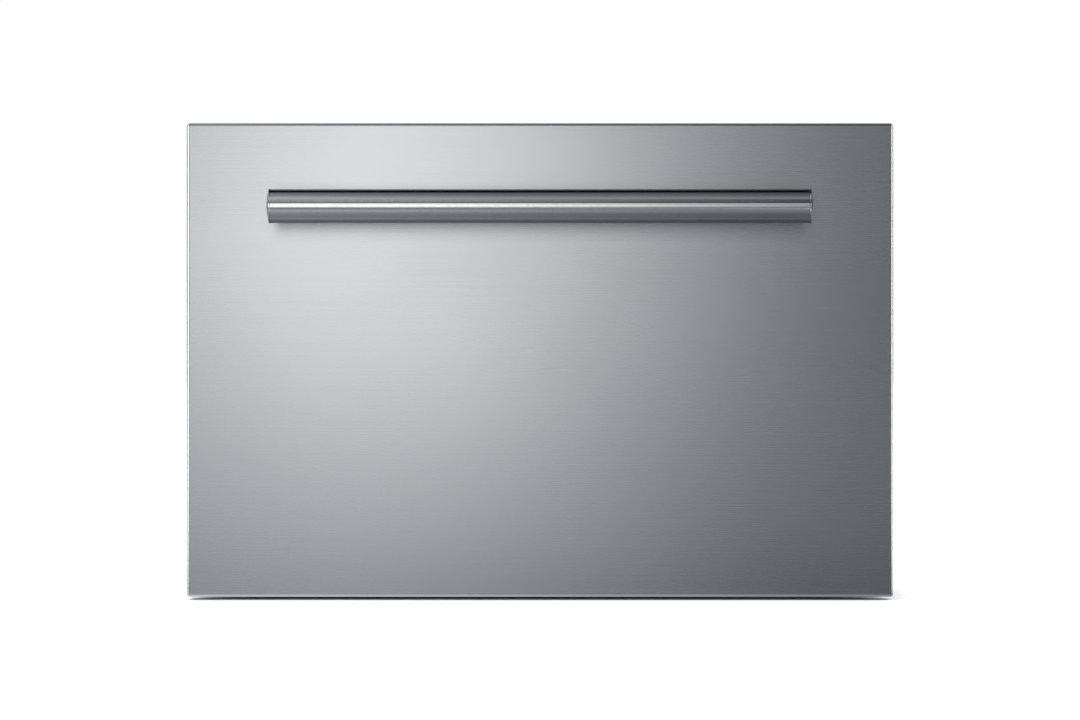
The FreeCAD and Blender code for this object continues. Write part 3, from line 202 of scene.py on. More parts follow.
def piece(name, shapes, finish, body, replaced=(), crease=35):
    """A new piece of one or more shapes, on its body, with edges sharp past the crease angle in degrees."""
    vertices, faces, count = [], [], 0
    for points, corners in shapes:
        vertices.append(points)
        faces.append(corners + count)
        count += len(points)
    corners = np.concatenate(faces)
    alone = [[c for k, c in enumerate(face) if c != face[k - 1]] for face in corners.tolist()]
    mesh = bpy.data.meshes.new(name)
    mesh.from_pydata(np.concatenate(vertices).tolist(), [], alone)
    mesh.shade_smooth()
    mesh.set_sharp_from_angle(angle=np.radians(crease))
    mesh.materials.append(finish.material)
    made = bpy.data.objects.new(name, mesh)
    bpy.context.scene.collection.objects.link(made)
    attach(made, body)
    if replaced:
        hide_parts(*replaced)


# The dark specular tint darkens the steel where it is seen edge-on: a painted shade along the tube's
# outlines.
handle_steel = Finish(
    "handle_steel",
    {"Metallic": 1, "Anisotropic": 0.8, "Anisotropic Rotation": 0.25, "Specular Tint": (0.25, 0.26, 0.28)},
)
round_bar = handle_steel.add("Tangent", direction_type="RADIAL", axis="X").outputs[0]
handle_steel.feed("Tangent", round_bar)
turning = handle_steel.grain((3200, 45, 45), detail=3, rough=0.6)
sparkle = handle_steel.grain((500, 300, 300), detail=3)
ground = handle_steel.work("MULTIPLY_ADD", sparkle, 0.6, handle_steel.work("MULTIPLY", turning, 0.4))
ground = handle_steel.between(ground, 0, 1, 0.36, 0.64)
handle_steel.feed("Base Color", handle_steel.tint(ground, (0.718, 0.72, 0.733), (0.776, 0.775, 0.784)))
patches = handle_steel.between(handle_steel.grain((14, 60, 60), detail=2), -0.015, 0.02)
scored = handle_steel.between(ground, 0.2, 0.14, 0, 1)
handle_steel.feed("Roughness", handle_steel.work("ADD", scored, patches))
handle_steel.emboss(turning, 0.0000025)

bar_low, bar_high = np.array(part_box("handle_bar"))
bar_axis = (bar_low + bar_high) / 2
bar_radius = (bar_high[2] - bar_low[2]) / 2
bar_half = bar_high[0]
tube_wall, tube_chamfer = 0.0015, 0.00025
tube_profile = [
    (-bar_half, bar_radius - tube_chamfer),
    (-bar_half + tube_chamfer, bar_radius),
    (bar_half - tube_chamfer, bar_radius),
    (bar_half, bar_radius - tube_chamfer),
    (bar_half, bar_radius - tube_wall),
    (-bar_half, bar_radius - tube_wall),
]
tube = turned(tube_profile, 0, bar_axis, columns=256, looped=True)
piece("handle_tube", [tube], handle_steel, "drawer", ["handle_bar"], crease=25)


# The handle's caps: turned from solid stainless steel and pressed into the ends of the tube. The rim is as
# bright as the tube, and the shallow dome is duller, with the fine rings of the tool that faced it. The dome
# is also painted a darker grey than the steel, a painted shade at the ends of the bar, and the edge tint of
# the cap is kept dark, a painted shade along its outlines.

cap_steel = Finish("cap_steel", {"Metallic": 1, "Specular Tint": (0.25, 0.26, 0.28)})
off_axis = cap_steel.place((0, 1, 1), moved=tuple(-bar_axis))
from_axis = cap_steel.add("VectorMath", {0: off_axis}, operation="LENGTH").outputs["Value"]
tool_rings = {"W": from_axis, "Scale": 2500, "Detail": 3}
faced = cap_steel.add("TexNoise", tool_rings, noise_dimensions="1D").outputs["Fac"]
dome_edge, rim_edge = 0.0131, 0.0139
turned_rim = cap_steel.between(from_axis, 0, 1, dome_edge, rim_edge)
# The dome's grey, darker than the steel's own, is painted shade; the rings in it are the tool's.
faced_rings_and_painted_shade = cap_steel.tint(faced, (0.38, 0.385, 0.39), (0.48, 0.485, 0.49))
cap_steel.feed("Base Color", cap_steel.tint(turned_rim, faced_rings_and_painted_shade, (0.745, 0.75, 0.76)))
on_dome = cap_steel.between(turned_rim, 0.4, 0, 0, 1)
duller = cap_steel.work("MULTIPLY", on_dome, cap_steel.between(faced, 0.7, 1))
cap_steel.feed("Roughness", cap_steel.work("ADD", duller, 0.14))
cap_steel.emboss(faced, 0.000003)

cap_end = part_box("handle_end_caps")[1]
cap_radius = cap_end[2] - bar_axis[2]
cap_chamfer, cap_edge, dome = 0.0001, 0.0002, 0.0019
face_radius = cap_radius - cap_chamfer
cap_profile = [(cap_end[0] - dome * (r / face_radius) ** 2, r) for r in np.linspace(0, face_radius, 13)]
cap_profile += [
    (cap_end[0] - dome - cap_chamfer, cap_radius),
    (bar_half + cap_edge, cap_radius),
    (bar_half, cap_radius - cap_edge),
    (bar_half, 0),
]
caps = []
for side in (-1, 1):
    profile = [(along * side, radius) for along, radius in cap_profile]
    caps.append(turned(profile, 0, bar_axis * (0, 1, 1), columns=192))
piece("handle_caps", caps, cap_steel, "drawer", ["handle_end_caps"], crease=25)


# The handle's posts: two round stainless bars, coped to the back of the tube and welded to it. A screw from
# inside the door pulls each foot against the front.

post_low, post_high = np.array(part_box("handle_posts"))
post_radius = (post_high[2] - post_low[2]) / 2
weld_size, foot_chamfer, into_tube = 0.0014, 0.0004, 0.0001


def coped_post(middle, foot, columns=64):
    """A round post from the front to the tube. Its radius is the plain one, less a small chamfer at the foot
    and plus a weld that grows by a square towards the tube, and each of its lines ends just inside the
    tube: at the tube's axis plus the root of (tube radius squared - height squared)."""
    angle = np.linspace(0, 2 * np.pi, columns, endpoint=False)
    share = np.array([0, 0.012, 0.3, 0.6, 0.9, 0.94, 0.97, 0.985, 1.0])[:, None]
    weld = weld_size * np.clip((share - 0.9) / 0.1, 0, 1) ** 2
    radius = post_radius + weld - foot_chamfer * (share == 0)
    across, up = radius * np.cos(angle), radius * np.sin(angle)
    end = bar_axis[1] + np.sqrt(bar_radius**2 - up[-1] ** 2) - into_tube
    depth = foot + (end - foot) * share
    rows = np.stack([middle[0] + across, depth + 0 * across, middle[2] + up], axis=-1)
    start = (middle[0], foot, middle[2])
    stop = (middle[0], bar_axis[1] + bar_radius - into_tube, middle[2])
    return skin(rows, start, stop)


posts = []
for side in (-1, 1):
    middle = np.array([side * (post_high[0] - post_radius), 0, bar_axis[2]])
    posts.append(coped_post(middle, post_high[1]))
piece("handle_post_pair", posts, handle_steel, "drawer", ["handle_posts"], crease=25)


# Behind the front, the handle's two hexagon screws pull its posts against a plate each, and poured foam
# fills the rest of the door, as it fills the cabinet's walls. Plated steel, galvanised steel and pale
# hard polyurethane foam. The cabinet's bare steel parts have the same zinc crystals as the plates.

plated_steel = Finish("plated_fastener", {"Metallic": 1})
dull = plated_steel.grain((300, 300, 300), detail=3)
plated_steel.feed("Base Color", plated_steel.tint(dull, (0.52, 0.53, 0.53), (0.66, 0.66, 0.65)))
plated_steel.feed("Roughness", plated_steel.between(dull, 0.26, 0.4))
plated_steel.emboss(plated_steel.grain((1500, 1500, 1500)), 0.000008)
plated_steel.cover("handle_screws")

galvanised = Finish("galvanised_sheet", {"Metallic": 1})
crystal = galvanised.add("TexVoronoi", {"Vector": galvanised.place((90, 90, 90)), "Scale": 1})
shade = galvanised.add("SeparateColor", {"Color": crystal.outputs["Color"]}).outputs["Red"]
bloom = galvanised.grain((30, 30, 30), detail=4)
galvanised.feed("Base Color", galvanised.tint(shade, (0.42, 0.44, 0.46), (0.57, 0.585, 0.60)))
per_crystal = galvanised.between(shade, 0.32, 0.5, 0, 1)
galvanised.feed("Roughness", galvanised.work("ADD", per_crystal, galvanised.between(bloom, -0.03, 0.05)))
galvanised.emboss(galvanised.grain((700, 700, 700), detail=3), 0.000012)
galvanised.cover(
    "handle_backing_plates", "base_pan", "bulkhead", "power_supply", "rear_panel", "worktop_brackets",
)

poured_foam = Finish("poured_foam", {"Specular IOR Level": 0.25})
cells = poured_foam.add("TexVoronoi", {"Vector": poured_foam.place((1100, 1100, 1100)), "Scale": 1})
ageing = poured_foam.grain((9, 9, 9), detail=3)
poured_foam.feed("Base Color", poured_foam.tint(ageing, (0.78, 0.70, 0.47), (0.88, 0.84, 0.68)))
poured_foam.feed("Roughness", poured_foam.between(ageing, 0.8, 0.92))
poured_foam.emboss(cells.outputs["Distance"], 0.0003)
poured_foam.cover("door_foam", "cabinet_foam")


# The back of the door: a cover vacuum formed from dark grey polystyrene sheet with a fine leather grain.
# The same sheet makes the cabinet's liner, and the duct cover at the back of the cavity.

grey_sheet = Finish("grained_polystyrene", {"Specular IOR Level": 0.45})
grey_sheet.soften(0.0008)
leather = grey_sheet.add("TexVoronoi", {"Vector": grey_sheet.place((1300, 1300, 1300)), "Scale": 1})
handled = grey_sheet.grain((12, 12, 12), detail=4, warp=0.5)
grey_sheet.feed("Base Color", grey_sheet.tint(handled, (0.145, 0.15, 0.155), (0.18, 0.185, 0.19)))
grey_sheet.feed("Roughness", grey_sheet.between(handled, 0.42, 0.55))
grey_sheet.emboss(leather.outputs["Distance"], 0.00005)
grey_sheet.cover("door_cover", "cabinet_liner", "duct_cover")


# The seal: soft black rubber pushed into a groove round the cover by its barbed dart, with a bellows that
# lets it give and a tube that holds four bendable magnet strips. Its corners are mitred and welded.

soft_rubber = Finish("seal_rubber", {"Specular IOR Level": 0.4})
powdery = soft_rubber.grain((60, 60, 60), detail=5)
soft_rubber.feed("Base Color", soft_rubber.tint(powdery, (0.06, 0.06, 0.062), (0.10, 0.10, 0.10)))
soft_rubber.feed("Roughness", soft_rubber.between(powdery, 0.5, 0.68))
soft_rubber.emboss(soft_rubber.grain((900, 900, 900), detail=2), 0.00002)

magnet_strip = Finish("magnet_strip", {"Specular IOR Level": 0.3})
specks = magnet_strip.grain((2500, 2500, 2500), detail=1)
magnet_strip.feed("Base Color", magnet_strip.tint(specks, (0.09, 0.07, 0.07), (0.15, 0.13, 0.13)))
magnet_strip.feed("Roughness", magnet_strip.between(specks, 0.7, 0.85))
magnet_strip.emboss(specks, 0.00003)
magnet_strip.cover("seal_magnets")


def bellows_seal(low, high, base_half=0.008, bellows=(0.0064, 0.009), ripple=0.0004, ripples=2400):
    """The seal's section, carried round a rectangle with mitred corners. Half of the section goes from the
    dart's tip to the middle of the head: its half width is given at a few depths, with a ripple of
    the sine of the depth along the bellows, and the other half mirrors it. At each of the four
    corners the width goes outwards along x and z alike, which is what a mitre does."""
    depth = [0, 0.6, 1.6, 1.7, 3.0, 4.2, 4.4, 4.7, 5.9, 6.4, 7.4, 8.2, 9.0, 9.2, 10.2, 13.0, 13.9, 14.2]
    half = [0.2, 1.3, 1.9, 1.2, 1.2, 1.2, 7.4, 8.0, 7.8, 3.2, 2.5, 3.4, 2.6, 5.6, 6.5, 6.5, 6.0, 5.0]
    depth, half = np.array(depth) / 1000, np.array(half) / 1000
    fine = np.unique(np.concatenate([depth, np.linspace(*bellows, 9)]))
    rippled = (fine > bellows[0]) & (fine < bellows[1])
    wide = np.interp(fine, depth, half) + ripple * np.sin((fine - bellows[0]) * ripples) * rippled
    section = np.concatenate([np.stack([wide, fine], 1), np.stack([-wide[::-1], fine[::-1]], 1)])
    middle_x, middle_z = high[0] - base_half, (high[2] - low[2]) / 2 - base_half
    centre_z = (low[2] + high[2]) / 2
    corner = np.array([(1, 1), (-1, 1), (-1, -1), (1, -1)])[:, None]
    x = corner[..., 0] * (middle_x + section[:, 0])
    z = centre_z + corner[..., 1] * (middle_z + section[:, 0])
    y = low[1] + section[:, 1] + 0 * x
    return skin(np.stack([x, y, z], axis=-1), looped=True)


gasket = bellows_seal(*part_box("door_seal"))
piece("door_gasket", [gasket], soft_rubber, "drawer", ["door_seal"], crease=40)


# The drawer box: folded steel sheet, powder coated nearly black with a fine orange peel. Angles hold its
# front to the door, and cross-head screws hold the angles, the wings of its back and the slides.

dark_coat = Finish("dark_powder_coat", {"Specular IOR Level": 0.5})
dark_coat.soften(0.0004)
peel = dark_coat.grain((1400, 1400, 1400), detail=2)
fleck = dark_coat.grain((5200, 5200, 5200), detail=0)
rubbed = dark_coat.grain((16, 16, 16), detail=4, warp=0.4)
charcoal = dark_coat.tint(rubbed, (0.075, 0.076, 0.082), (0.105, 0.105, 0.112))
bright_fleck = dark_coat.between(fleck, 0, 1, 0.66, 0.74)
dark_coat.feed("Base Color", dark_coat.tint(bright_fleck, charcoal, (0.24, 0.24, 0.25)))
dark_coat.feed("Roughness", dark_coat.between(rubbed, 0.36, 0.5))
dark_coat.emboss(peel, 0.00003)
dark_coat.cover(
    "drawer_side_left", "drawer_side_right", "drawer_floor", "drawer_rear_panel", "front_brackets",
)


def copied(shape, places):
    """A shape repeated at places: its points plus each place, and its faces counted on from copy to copy."""
    vertices, faces = shape
    places = np.array(places, float)
    steps = (np.arange(len(places)) * len(vertices))[:, None, None]
    return (places[:, None] + vertices).reshape(-1, 3), (faces + steps).reshape(-1, 4)


def screw_heads(places, axis, side, radius=0.004, height=0.0016, columns=32):
    """Pan heads with a cross recess, all alike, seated at places and facing one way along an axis. The rings
    go from the recess's floor up its wall to the crown and down to the seat. The recess's edge is
    at radius times 0.16 + 0.42 |cos(2 angle)|^7, and the crown falls by the square of the radius."""
    angle = np.linspace(0, 2 * np.pi, columns, endpoint=False)
    cross = radius * (0.16 + 0.42 * np.abs(np.cos(2 * angle)) ** 7)
    edge = 0 * angle + radius
    ring = np.stack([0.55 * cross, cross, 0.5 * cross + 0.37 * radius, 0.88 * edge, edge, edge])
    crown = height * (1 - 0.3 * (ring / radius) ** 2)
    out = crown * np.array([0.2, 1, 1, 1, 0.82, 0])[:, None]
    rows = np.empty(ring.shape + (3,))
    for step, values in enumerate((out * side, ring * np.cos(angle), ring * np.sin(angle))):
        rows[..., (axis + step) % 3] = values
    floor, seat = np.zeros(3), np.zeros(3)
    floor[axis] = height * 0.15 * side
    return copied(skin(rows, floor, seat), places)


door_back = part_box("front_brackets")[0][1]
side_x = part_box("drawer_side_right")[1][0]
slide_z = sum(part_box("slide_inner_right")[k][2] for k in (0, 1)) / 2
side_sheet, bracket_sheet, wing_sheet = 0.0012, 0.0015, 0.0014
slide_screws_y, bracket_screws_y, wing_screws_y = (-0.160, -0.045, 0.095), -0.192, 0.1175
corner_z, door_screws_x, door_screws_z = (0.088, 0.150), 0.2205, (0.085, 0.130, 0.190)
box_screws = []
for side in (-1, 1):
    inside = side * (side_x - side_sheet)
    on_bracket, on_wing = inside - side * bracket_sheet, inside - side * wing_sheet
    on_door = side * door_screws_x
    box_screws += [
        screw_heads([(inside, y, slide_z) for y in slide_screws_y], 0, -side),
        screw_heads([(on_bracket, bracket_screws_y, z) for z in corner_z], 0, -side),
        screw_heads([(on_wing, wing_screws_y, z) for z in corner_z], 0, -side),
        screw_heads([(on_door, door_back + bracket_sheet, z) for z in door_screws_z], 1, 1),
    ]
piece("drawer_screws", box_screws, plated_steel, "drawer")


# Round chromed rods over the drawer's sides keep the upper bottles in. Chrome on drawn steel wire, so
# the mirror follows the faint drawing lines along the rod.

chrome = Finish("rail_chrome", {"Metallic": 1})
drawn = chrome.grain((900, 4, 900), detail=2)
chrome.feed("Base Color", chrome.tint(drawn, (0.72, 0.73, 0.75), (0.80, 0.81, 0.82)))
chrome.feed("Roughness", chrome.between(drawn, 0.05, 0.12))
chrome.emboss(drawn, 0.000002)
chrome.cover("gallery_rails")


# The slides: three rolled channels of zinc plated steel in each, with hard steel balls between them. Thin
# cages hold the balls in two rows over and under the middle, and a film of grease makes the races' gloss
# uneven.

zinc_plate = Finish("zinc_plated_slide", {"Metallic": 1})
rolled = zinc_plate.grain((900, 5, 900), detail=3)
greasy = zinc_plate.grain((70, 14, 70), detail=4, warp=0.6)
zinc_plate.feed("Base Color", zinc_plate.tint(rolled, (0.57, 0.585, 0.60), (0.66, 0.67, 0.68)))
grooved = zinc_plate.between(rolled, 0.24, 0.36)
zinc_plate.feed("Roughness", zinc_plate.work("ADD", grooved, zinc_plate.between(greasy, -0.06, 0.06)))
zinc_plate.emboss(rolled, 0.000002)
zinc_plate.cover(
    "slide_outer_left", "slide_outer_right", "slide_middle_left", "slide_middle_right",
    "slide_inner_left", "slide_inner_right", "ball_cages_outer", "ball_cages_inner",
)

ball_steel = Finish("ball_steel", {"Metallic": 1})
film = ball_steel.grain((400, 400, 400), detail=2)
ball_steel.feed("Base Color", ball_steel.tint(film, (0.58, 0.57, 0.55), (0.72, 0.72, 0.72)))
ball_steel.feed("Roughness", ball_steel.between(film, 0.08, 0.2))


def ball_rows(cage, wall, race_in, race_up, count=13, radius=0.0021, end_room=0.007):
    """Balls in four rows, two in each slide. A ball's rings have the radius times the sine of the angle from
    its pole, and lie at the radius times its cosine."""
    low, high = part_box(cage)
    polar = np.linspace(0, np.pi, 7)
    profile = np.stack([radius * np.cos(polar), radius * np.sin(polar)], axis=1)
    profile[[0, -1], 1] = 0
    depth = np.linspace(low[1] + end_room, high[1] - end_room, count)
    side, row, along = np.meshgrid((-1, 1), (-1, 1), depth, indexing="ij")
    places = np.stack([side * (wall - race_in), along, slide_z + row * race_up], axis=-1)
    return copied(turned(profile, 0, np.zeros(3), columns=10), places.reshape(-1, 3))


cavity_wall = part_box("slide_outer_right")[1][0]
outer_balls = ball_rows("ball_cages_outer", cavity_wall, 0.0066, 0.01945)
inner_balls = ball_rows("ball_cages_inner", cavity_wall, 0.0076, 0.0141)
piece("outer_balls", [outer_balls], ball_steel, "outer_cages", crease=60)
piece("inner_balls", [inner_balls], ball_steel, "inner_cages", crease=60)


# The bottle cradles and the upper rack: steamed beech, sawn, scalloped and oiled. Beech is pinkish brown
# and even, with short dark flecks along the grain. Countersunk screws join the rack at its rails.


def beech(name, along):
    """Oiled beech whose grain runs along one axis: wide soft rings, short flecks and fine fibres."""
    finish = Finish(name, {"Specular IOR Level": 0.35})
    finish.soften(0.0007)

    def stretched(length, width):
        return tuple(length if axis == along else width for axis in range(3))

    rings = finish.grain(stretched(2.2, 55), detail=3, rough=0.5, warp=0.8)
    fleck = finish.grain(stretched(260, 1900), detail=1, rough=0.4)
    fibre = finish.grain(stretched(28, 3200), detail=3, rough=0.7)
    board = finish.grain(stretched(0.7, 9), detail=1)
    even = finish.tint(rings, (0.52, 0.325, 0.175), (0.66, 0.445, 0.265))
    even = finish.tint(finish.between(board, 0, 0.5), even, (0.60, 0.36, 0.20))
    even = finish.tint(finish.between(fibre, 0, 0.3), even, (0.40, 0.235, 0.12))
    flecked = finish.between(fleck, 0, 0.62, 0.6, 0.72)
    finish.feed("Base Color", finish.tint(flecked, even, (0.30, 0.155, 0.075)))
    finish.feed("Roughness", finish.between(fibre, 0.42, 0.6))
    finish.emboss(fibre, 0.00005)
    finish.emboss(fleck, 0.00003)
    return finish


beech_across = beech("beech_across", 0)
beech_across.cover(
    "lower_neck_cradle", "lower_body_cradle", "upper_neck_cradle", "upper_body_cradle", "upper_rack_slat",
)
beech_along = beech("beech_along", 1)
beech_along.cover("upper_rack_rails")

rail_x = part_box("upper_rack_rails")[1][0]
sunk = 0.0004
rail_screws_yz = ((-0.139, 0.190), (0.036, 0.188), (-0.052, 0.1775))
rack_screws = []
for side in (-1, 1):
    places = [(side * (rail_x - sunk), y, z) for y, z in rail_screws_yz]
    rack_screws.append(screw_heads(places, 0, side, radius=0.0036, height=0.0009))
piece("rack_screws", rack_screws, plated_steel, "upper_rack")


# The cabinet: a folded steel case and a punched front frame in black textured powder coat. Blackened
# screws hold them, the frame of the hot fan, the galvanised back and the brackets under the worktop.

case_coat = Finish("black_textured_coat", {"Specular IOR Level": 0.5})
case_coat.soften(0.0005)
texture = case_coat.grain((1500, 1500, 1500), detail=3, rough=0.6)
dusty = case_coat.grain((6, 6, 6), detail=5)
case_coat.feed("Base Color", case_coat.tint(dusty, (0.040, 0.040, 0.043), (0.062, 0.062, 0.066)))
case_coat.feed("Roughness", case_coat.between(dusty, 0.44, 0.58))
case_coat.emboss(texture, 0.00006)
case_coat.cover("cabinet_case", "front_frame")

case_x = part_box("cabinet_case")[1][0]
frame_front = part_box("front_frame")[0][1]
back_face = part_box("rear_panel")[1][1]
fan_z, fan_hole = 0.2, 0.0545
large, medium, small = 0.004, 0.0034, 0.0031
flat_head = 0.0014
case_screws = []
for face, way, radius, across, heights in (
    (back_face, 1, large, (-0.286, 0.286), (0.02, 0.14, 0.26, 0.378)),
    (back_face, 1, large, (-0.15, 0, 0.15), (0.016, 0.381)),
    (back_face, 1, small, (-fan_hole, fan_hole), (fan_z - fan_hole, fan_z + fan_hole)),
    (frame_front, -1, medium, (-0.283, 0.283), (0.075, 0.2, 0.33)),
    (frame_front, -1, medium, (-0.22, -0.07, 0.07, 0.22), (0.0195,)),
    (frame_front, -1, medium, (-0.22, -0.125, 0.125, 0.22), (0.3795,)),
):
    places = [(x, face, z) for x in across for z in heights]
    case_screws.append(screw_heads(places, 1, way, radius=radius))
bracket_y, bracket_z = -0.178, 0.3915
places = [(x, bracket_y, bracket_z) for x in (-0.21, -0.19, 0.19, 0.21)]
case_screws.append(screw_heads(places, 2, 1, radius=medium, height=flat_head))
pan_z = 0.014
for side in (-1, 1):
    places = [(side * case_x, y, pan_z) for y in (-0.19, -0.02, 0.15, 0.31)]
    case_screws.append(screw_heads(places, 0, side, height=flat_head))
black_screw = Finish("black_oxide_screw", {"Metallic": 1})
worn = black_screw.grain((500, 500, 500), detail=3)
black_screw.feed("Base Color", black_screw.tint(worn, (0.05, 0.05, 0.055), (0.13, 0.13, 0.13)))
black_screw.feed("Roughness", black_screw.between(worn, 0.3, 0.45))
piece("case_screws", case_screws, black_screw, "cabinet")


# Four square feet of hard black rubber, moulded with rounded edges. A plated screw, sunk in a recess, holds
# each under a corner of the case.

foot_rubber = Finish("foot_rubber", {"Specular IOR Level": 0.35})
gritty = foot_rubber.grain((700, 700, 700), detail=4)
foot_rubber.feed("Base Color", foot_rubber.tint(gritty, (0.045, 0.045, 0.046), (0.085, 0.084, 0.082)))
foot_rubber.feed("Roughness", foot_rubber.between(gritty, 0.62, 0.8))
foot_rubber.emboss(gritty, 0.00005)

feet_low, feet_high = np.array(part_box("cabinet_feet"))
foot_half, foot_hole, foot_recess = 0.015, 0.0055, 0.0035


def rubber_foot(middle, half, top, columns=48):
    """A pad whose ring at each height is a square with round corners: half its side times the cosine and sine
    of the angle, over the eighth root of the sum of their eighth powers. It narrows at its top and bottom
    edge and has a round recess below. Its rings run from the recess's ceiling out and up to the top."""
    angle = np.linspace(0, 2 * np.pi, columns, endpoint=False) + np.pi / columns
    cosine, sine = np.cos(angle), np.sin(angle)
    square = half / (np.abs(cosine) ** 8 + np.abs(sine) ** 8) ** 0.125
    hole = 0 * angle + foot_hole
    radii = np.stack([
        hole * 0.98, hole, hole + 0.0006,
        square - 0.0011, square - 0.0003, square, square, square - 0.0005,
    ])
    heights = np.array([foot_recess, 0.0008, 0, 0, 0.0003, 0.0011, top - 0.0005, top])[:, None]
    rows = np.stack([middle[0] + radii * cosine, middle[1] + radii * sine, heights + 0 * radii], axis=-1)
    return skin(rows, (middle[0], middle[1], foot_recess), (middle[0], middle[1], top))


foot_places = [(x, y) for x in (feet_low[0] + foot_half, feet_high[0] - foot_half)
               for y in (feet_low[1] + foot_half, feet_high[1] - foot_half)]
feet = [rubber_foot(place, foot_half, feet_high[2]) for place in foot_places]
piece("rubber_feet", feet, foot_rubber, "cabinet", ["cabinet_feet"], crease=50)
foot_screws = screw_heads([(x, y, foot_recess) for x, y in foot_places], 2, -1, height=0.0012)
piece("foot_screws", [foot_screws], plated_steel, "cabinet")


# The cooler: finned sinks sawn from aluminium extrusion, an aluminium block and a white ceramic tile
# between them. The duct cover over the cold sink is held by four screws.

sawn_aluminium = Finish("extruded_aluminium", {"Metallic": 1})
die_lines = sawn_aluminium.grain((2200, 2200, 4), detail=3)
oxide = sawn_aluminium.grain((40, 40, 40), detail=4)
sawn_aluminium.feed("Base Color", sawn_aluminium.tint(die_lines, (0.66, 0.67, 0.68), (0.77, 0.78, 0.79)))
extruded = sawn_aluminium.between(die_lines, 0.28, 0.42)
dulled = sawn_aluminium.between(oxide, -0.04, 0.05)
sawn_aluminium.feed("Roughness", sawn_aluminium.work("ADD", extruded, dulled))
sawn_aluminium.emboss(die_lines, 0.00001)
sawn_aluminium.cover("cold_sink", "hot_sink", "transfer_block")

white_tile = Finish("alumina_tile", {"Specular IOR Level": 0.5})
sintered = white_tile.grain((1800, 1800, 1800), detail=2)
white_tile.feed("Base Color", white_tile.tint(sintered, (0.84, 0.84, 0.81), (0.92, 0.92, 0.90)))
white_tile.feed("Roughness", white_tile.between(sintered, 0.55, 0.7))
white_tile.emboss(sintered, 0.00001)
white_tile.cover("peltier_tile")

duct_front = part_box("duct_cover")[0][1]
places = [(x, duct_front, z) for x in (-0.15, 0.15) for z in (0.1, 0.3)]
duct_screws = screw_heads(places, 1, -1, height=flat_head)
piece("duct_screws", [duct_screws], plated_steel, "cabinet")


# The fans: frames and rotors moulded in black plastic. Each rotor has five swept blades, steeper at the hub
# than at the tip, cambered and thin at both edges, and a hub with a rounded rim.

moulded_black = Finish("moulded_black", {"Specular IOR Level": 0.45})
moulded_black.soften(0.0003)
sparked = moulded_black.grain((2600, 2600, 2600), detail=2)
settled = moulded_black.grain((25, 25, 25), detail=4)
moulded_black.feed("Base Color", moulded_black.tint(settled, (0.024, 0.024, 0.026), (0.042, 0.042, 0.044)))
moulded_black.feed("Roughness", moulded_black.between(settled, 0.38, 0.52))
moulded_black.emboss(sparked, 0.00002)
moulded_black.cover("cold_fan_frame", "hot_fan_frame")


def fan_rotor(node, hub, blades=5, rings=9, columns=18):
    """A hub and its blades. At a share of the way from hub to tip, a blade's section is an ellipse-like loop
    along a chord: half thickness times the root of (1 - position squared), plus a camber of
    1 - position squared. The chord leans back from the fan's axis by an angle that grows outwards,
    and its middle sweeps round by the square of the share."""
    low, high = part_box(node)
    middle = np.array([0, (low[1] + high[1]) / 2, fan_z])
    depth, tip = high[1] - low[1], high[0]
    share = np.linspace(0, 1, rings)[:, None]
    root = hub * 0.96
    radius = root + (tip - root) * share
    lean = np.radians(42 + 18 * share)
    chord = np.minimum(depth * 0.88 / np.cos(lean), radius)
    around = np.linspace(0, 2 * np.pi, columns, endpoint=False)
    position = np.cos(around)
    bulge = 1 - position**2
    thickness, camber, swept = 0.03, 0.07, 0.34
    up = thickness * chord * np.sin(around) + camber * chord * bulge
    across = position * chord / 2
    axial = across * np.cos(lean) + up * np.sin(lean)
    sweep = swept * share**2 + (across * np.sin(lean) - up * np.cos(lean)) / radius
    x, z = radius * np.sin(sweep), radius * np.cos(sweep)
    shapes = []
    for blade in range(blades):
        turn = 2 * np.pi * blade / blades
        rows = np.stack(
            [x * np.cos(turn) + z * np.sin(turn), axial + 0 * x, z * np.cos(turn) - x * np.sin(turn)], axis=-1
        ) + middle
        shapes.append(skin(rows, rows[0].mean(0), rows[-1].mean(0)))
    half, edge = depth / 2, hub * 0.12
    groove = [(-half, hub * 0.55), (-half + 0.0003, hub * 0.6), (-half, hub * 0.65)]
    profile = [(-half, 0), *groove, (-half, hub - edge)]
    bend = np.linspace(0, np.pi / 2, 7)[1:]
    profile += list(zip(-half + edge * (1 - np.cos(bend)), hub - edge + edge * np.sin(bend)))
    profile += [(half, hub), (half, 0)]
    shapes.append(turned(profile, 1, middle, columns=48))
    return shapes


for word, hub in (("cold", 0.014), ("hot", 0.020)):
    rotor = fan_rotor(f"{word}_fan_rotor", hub)
    piece(f"{word}_blades", rotor, moulded_black, f"{word}_fan", [f"{word}_fan_rotor"])


# The mains inlet: a socket moulded in the same black plastic, with three flat plated pins. Two screws
# through its ears hold it to the back.

moulded_black.cover("power_inlet")
inlet_low, inlet_high = np.array(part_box("power_inlet"))
inlet_middle = (inlet_low + inlet_high) / 2


def inlet_pin(middle, start, stop, columns=24, half_wide=0.00104, half_high=0.00204):
    """A flat pin: its ring is a rectangle 2 by 4 mm with round corners, half its sides times the cosine and
    sine of the angle, over the sixth root of the sum of their sixth powers. It narrows over its last
    millimetre."""
    angle = np.linspace(0, 2 * np.pi, columns, endpoint=False) + np.pi / columns
    cosine, sine = np.cos(angle), np.sin(angle)
    reach = 1 / (np.abs(cosine) ** 6 + np.abs(sine) ** 6) ** (1 / 6)
    narrow = np.array([1, 1, 0.92, 0.7])[:, None]
    along = np.array([start, stop - 0.001, stop - 0.0003, stop])[:, None]
    x = middle[0] + half_wide * reach * cosine * narrow
    z = middle[1] + half_high * reach * sine * narrow
    rows = np.stack([x, along + 0 * x, z], axis=-1)
    return skin(rows, (middle[0], start, middle[1]), (middle[0], stop, middle[1]))


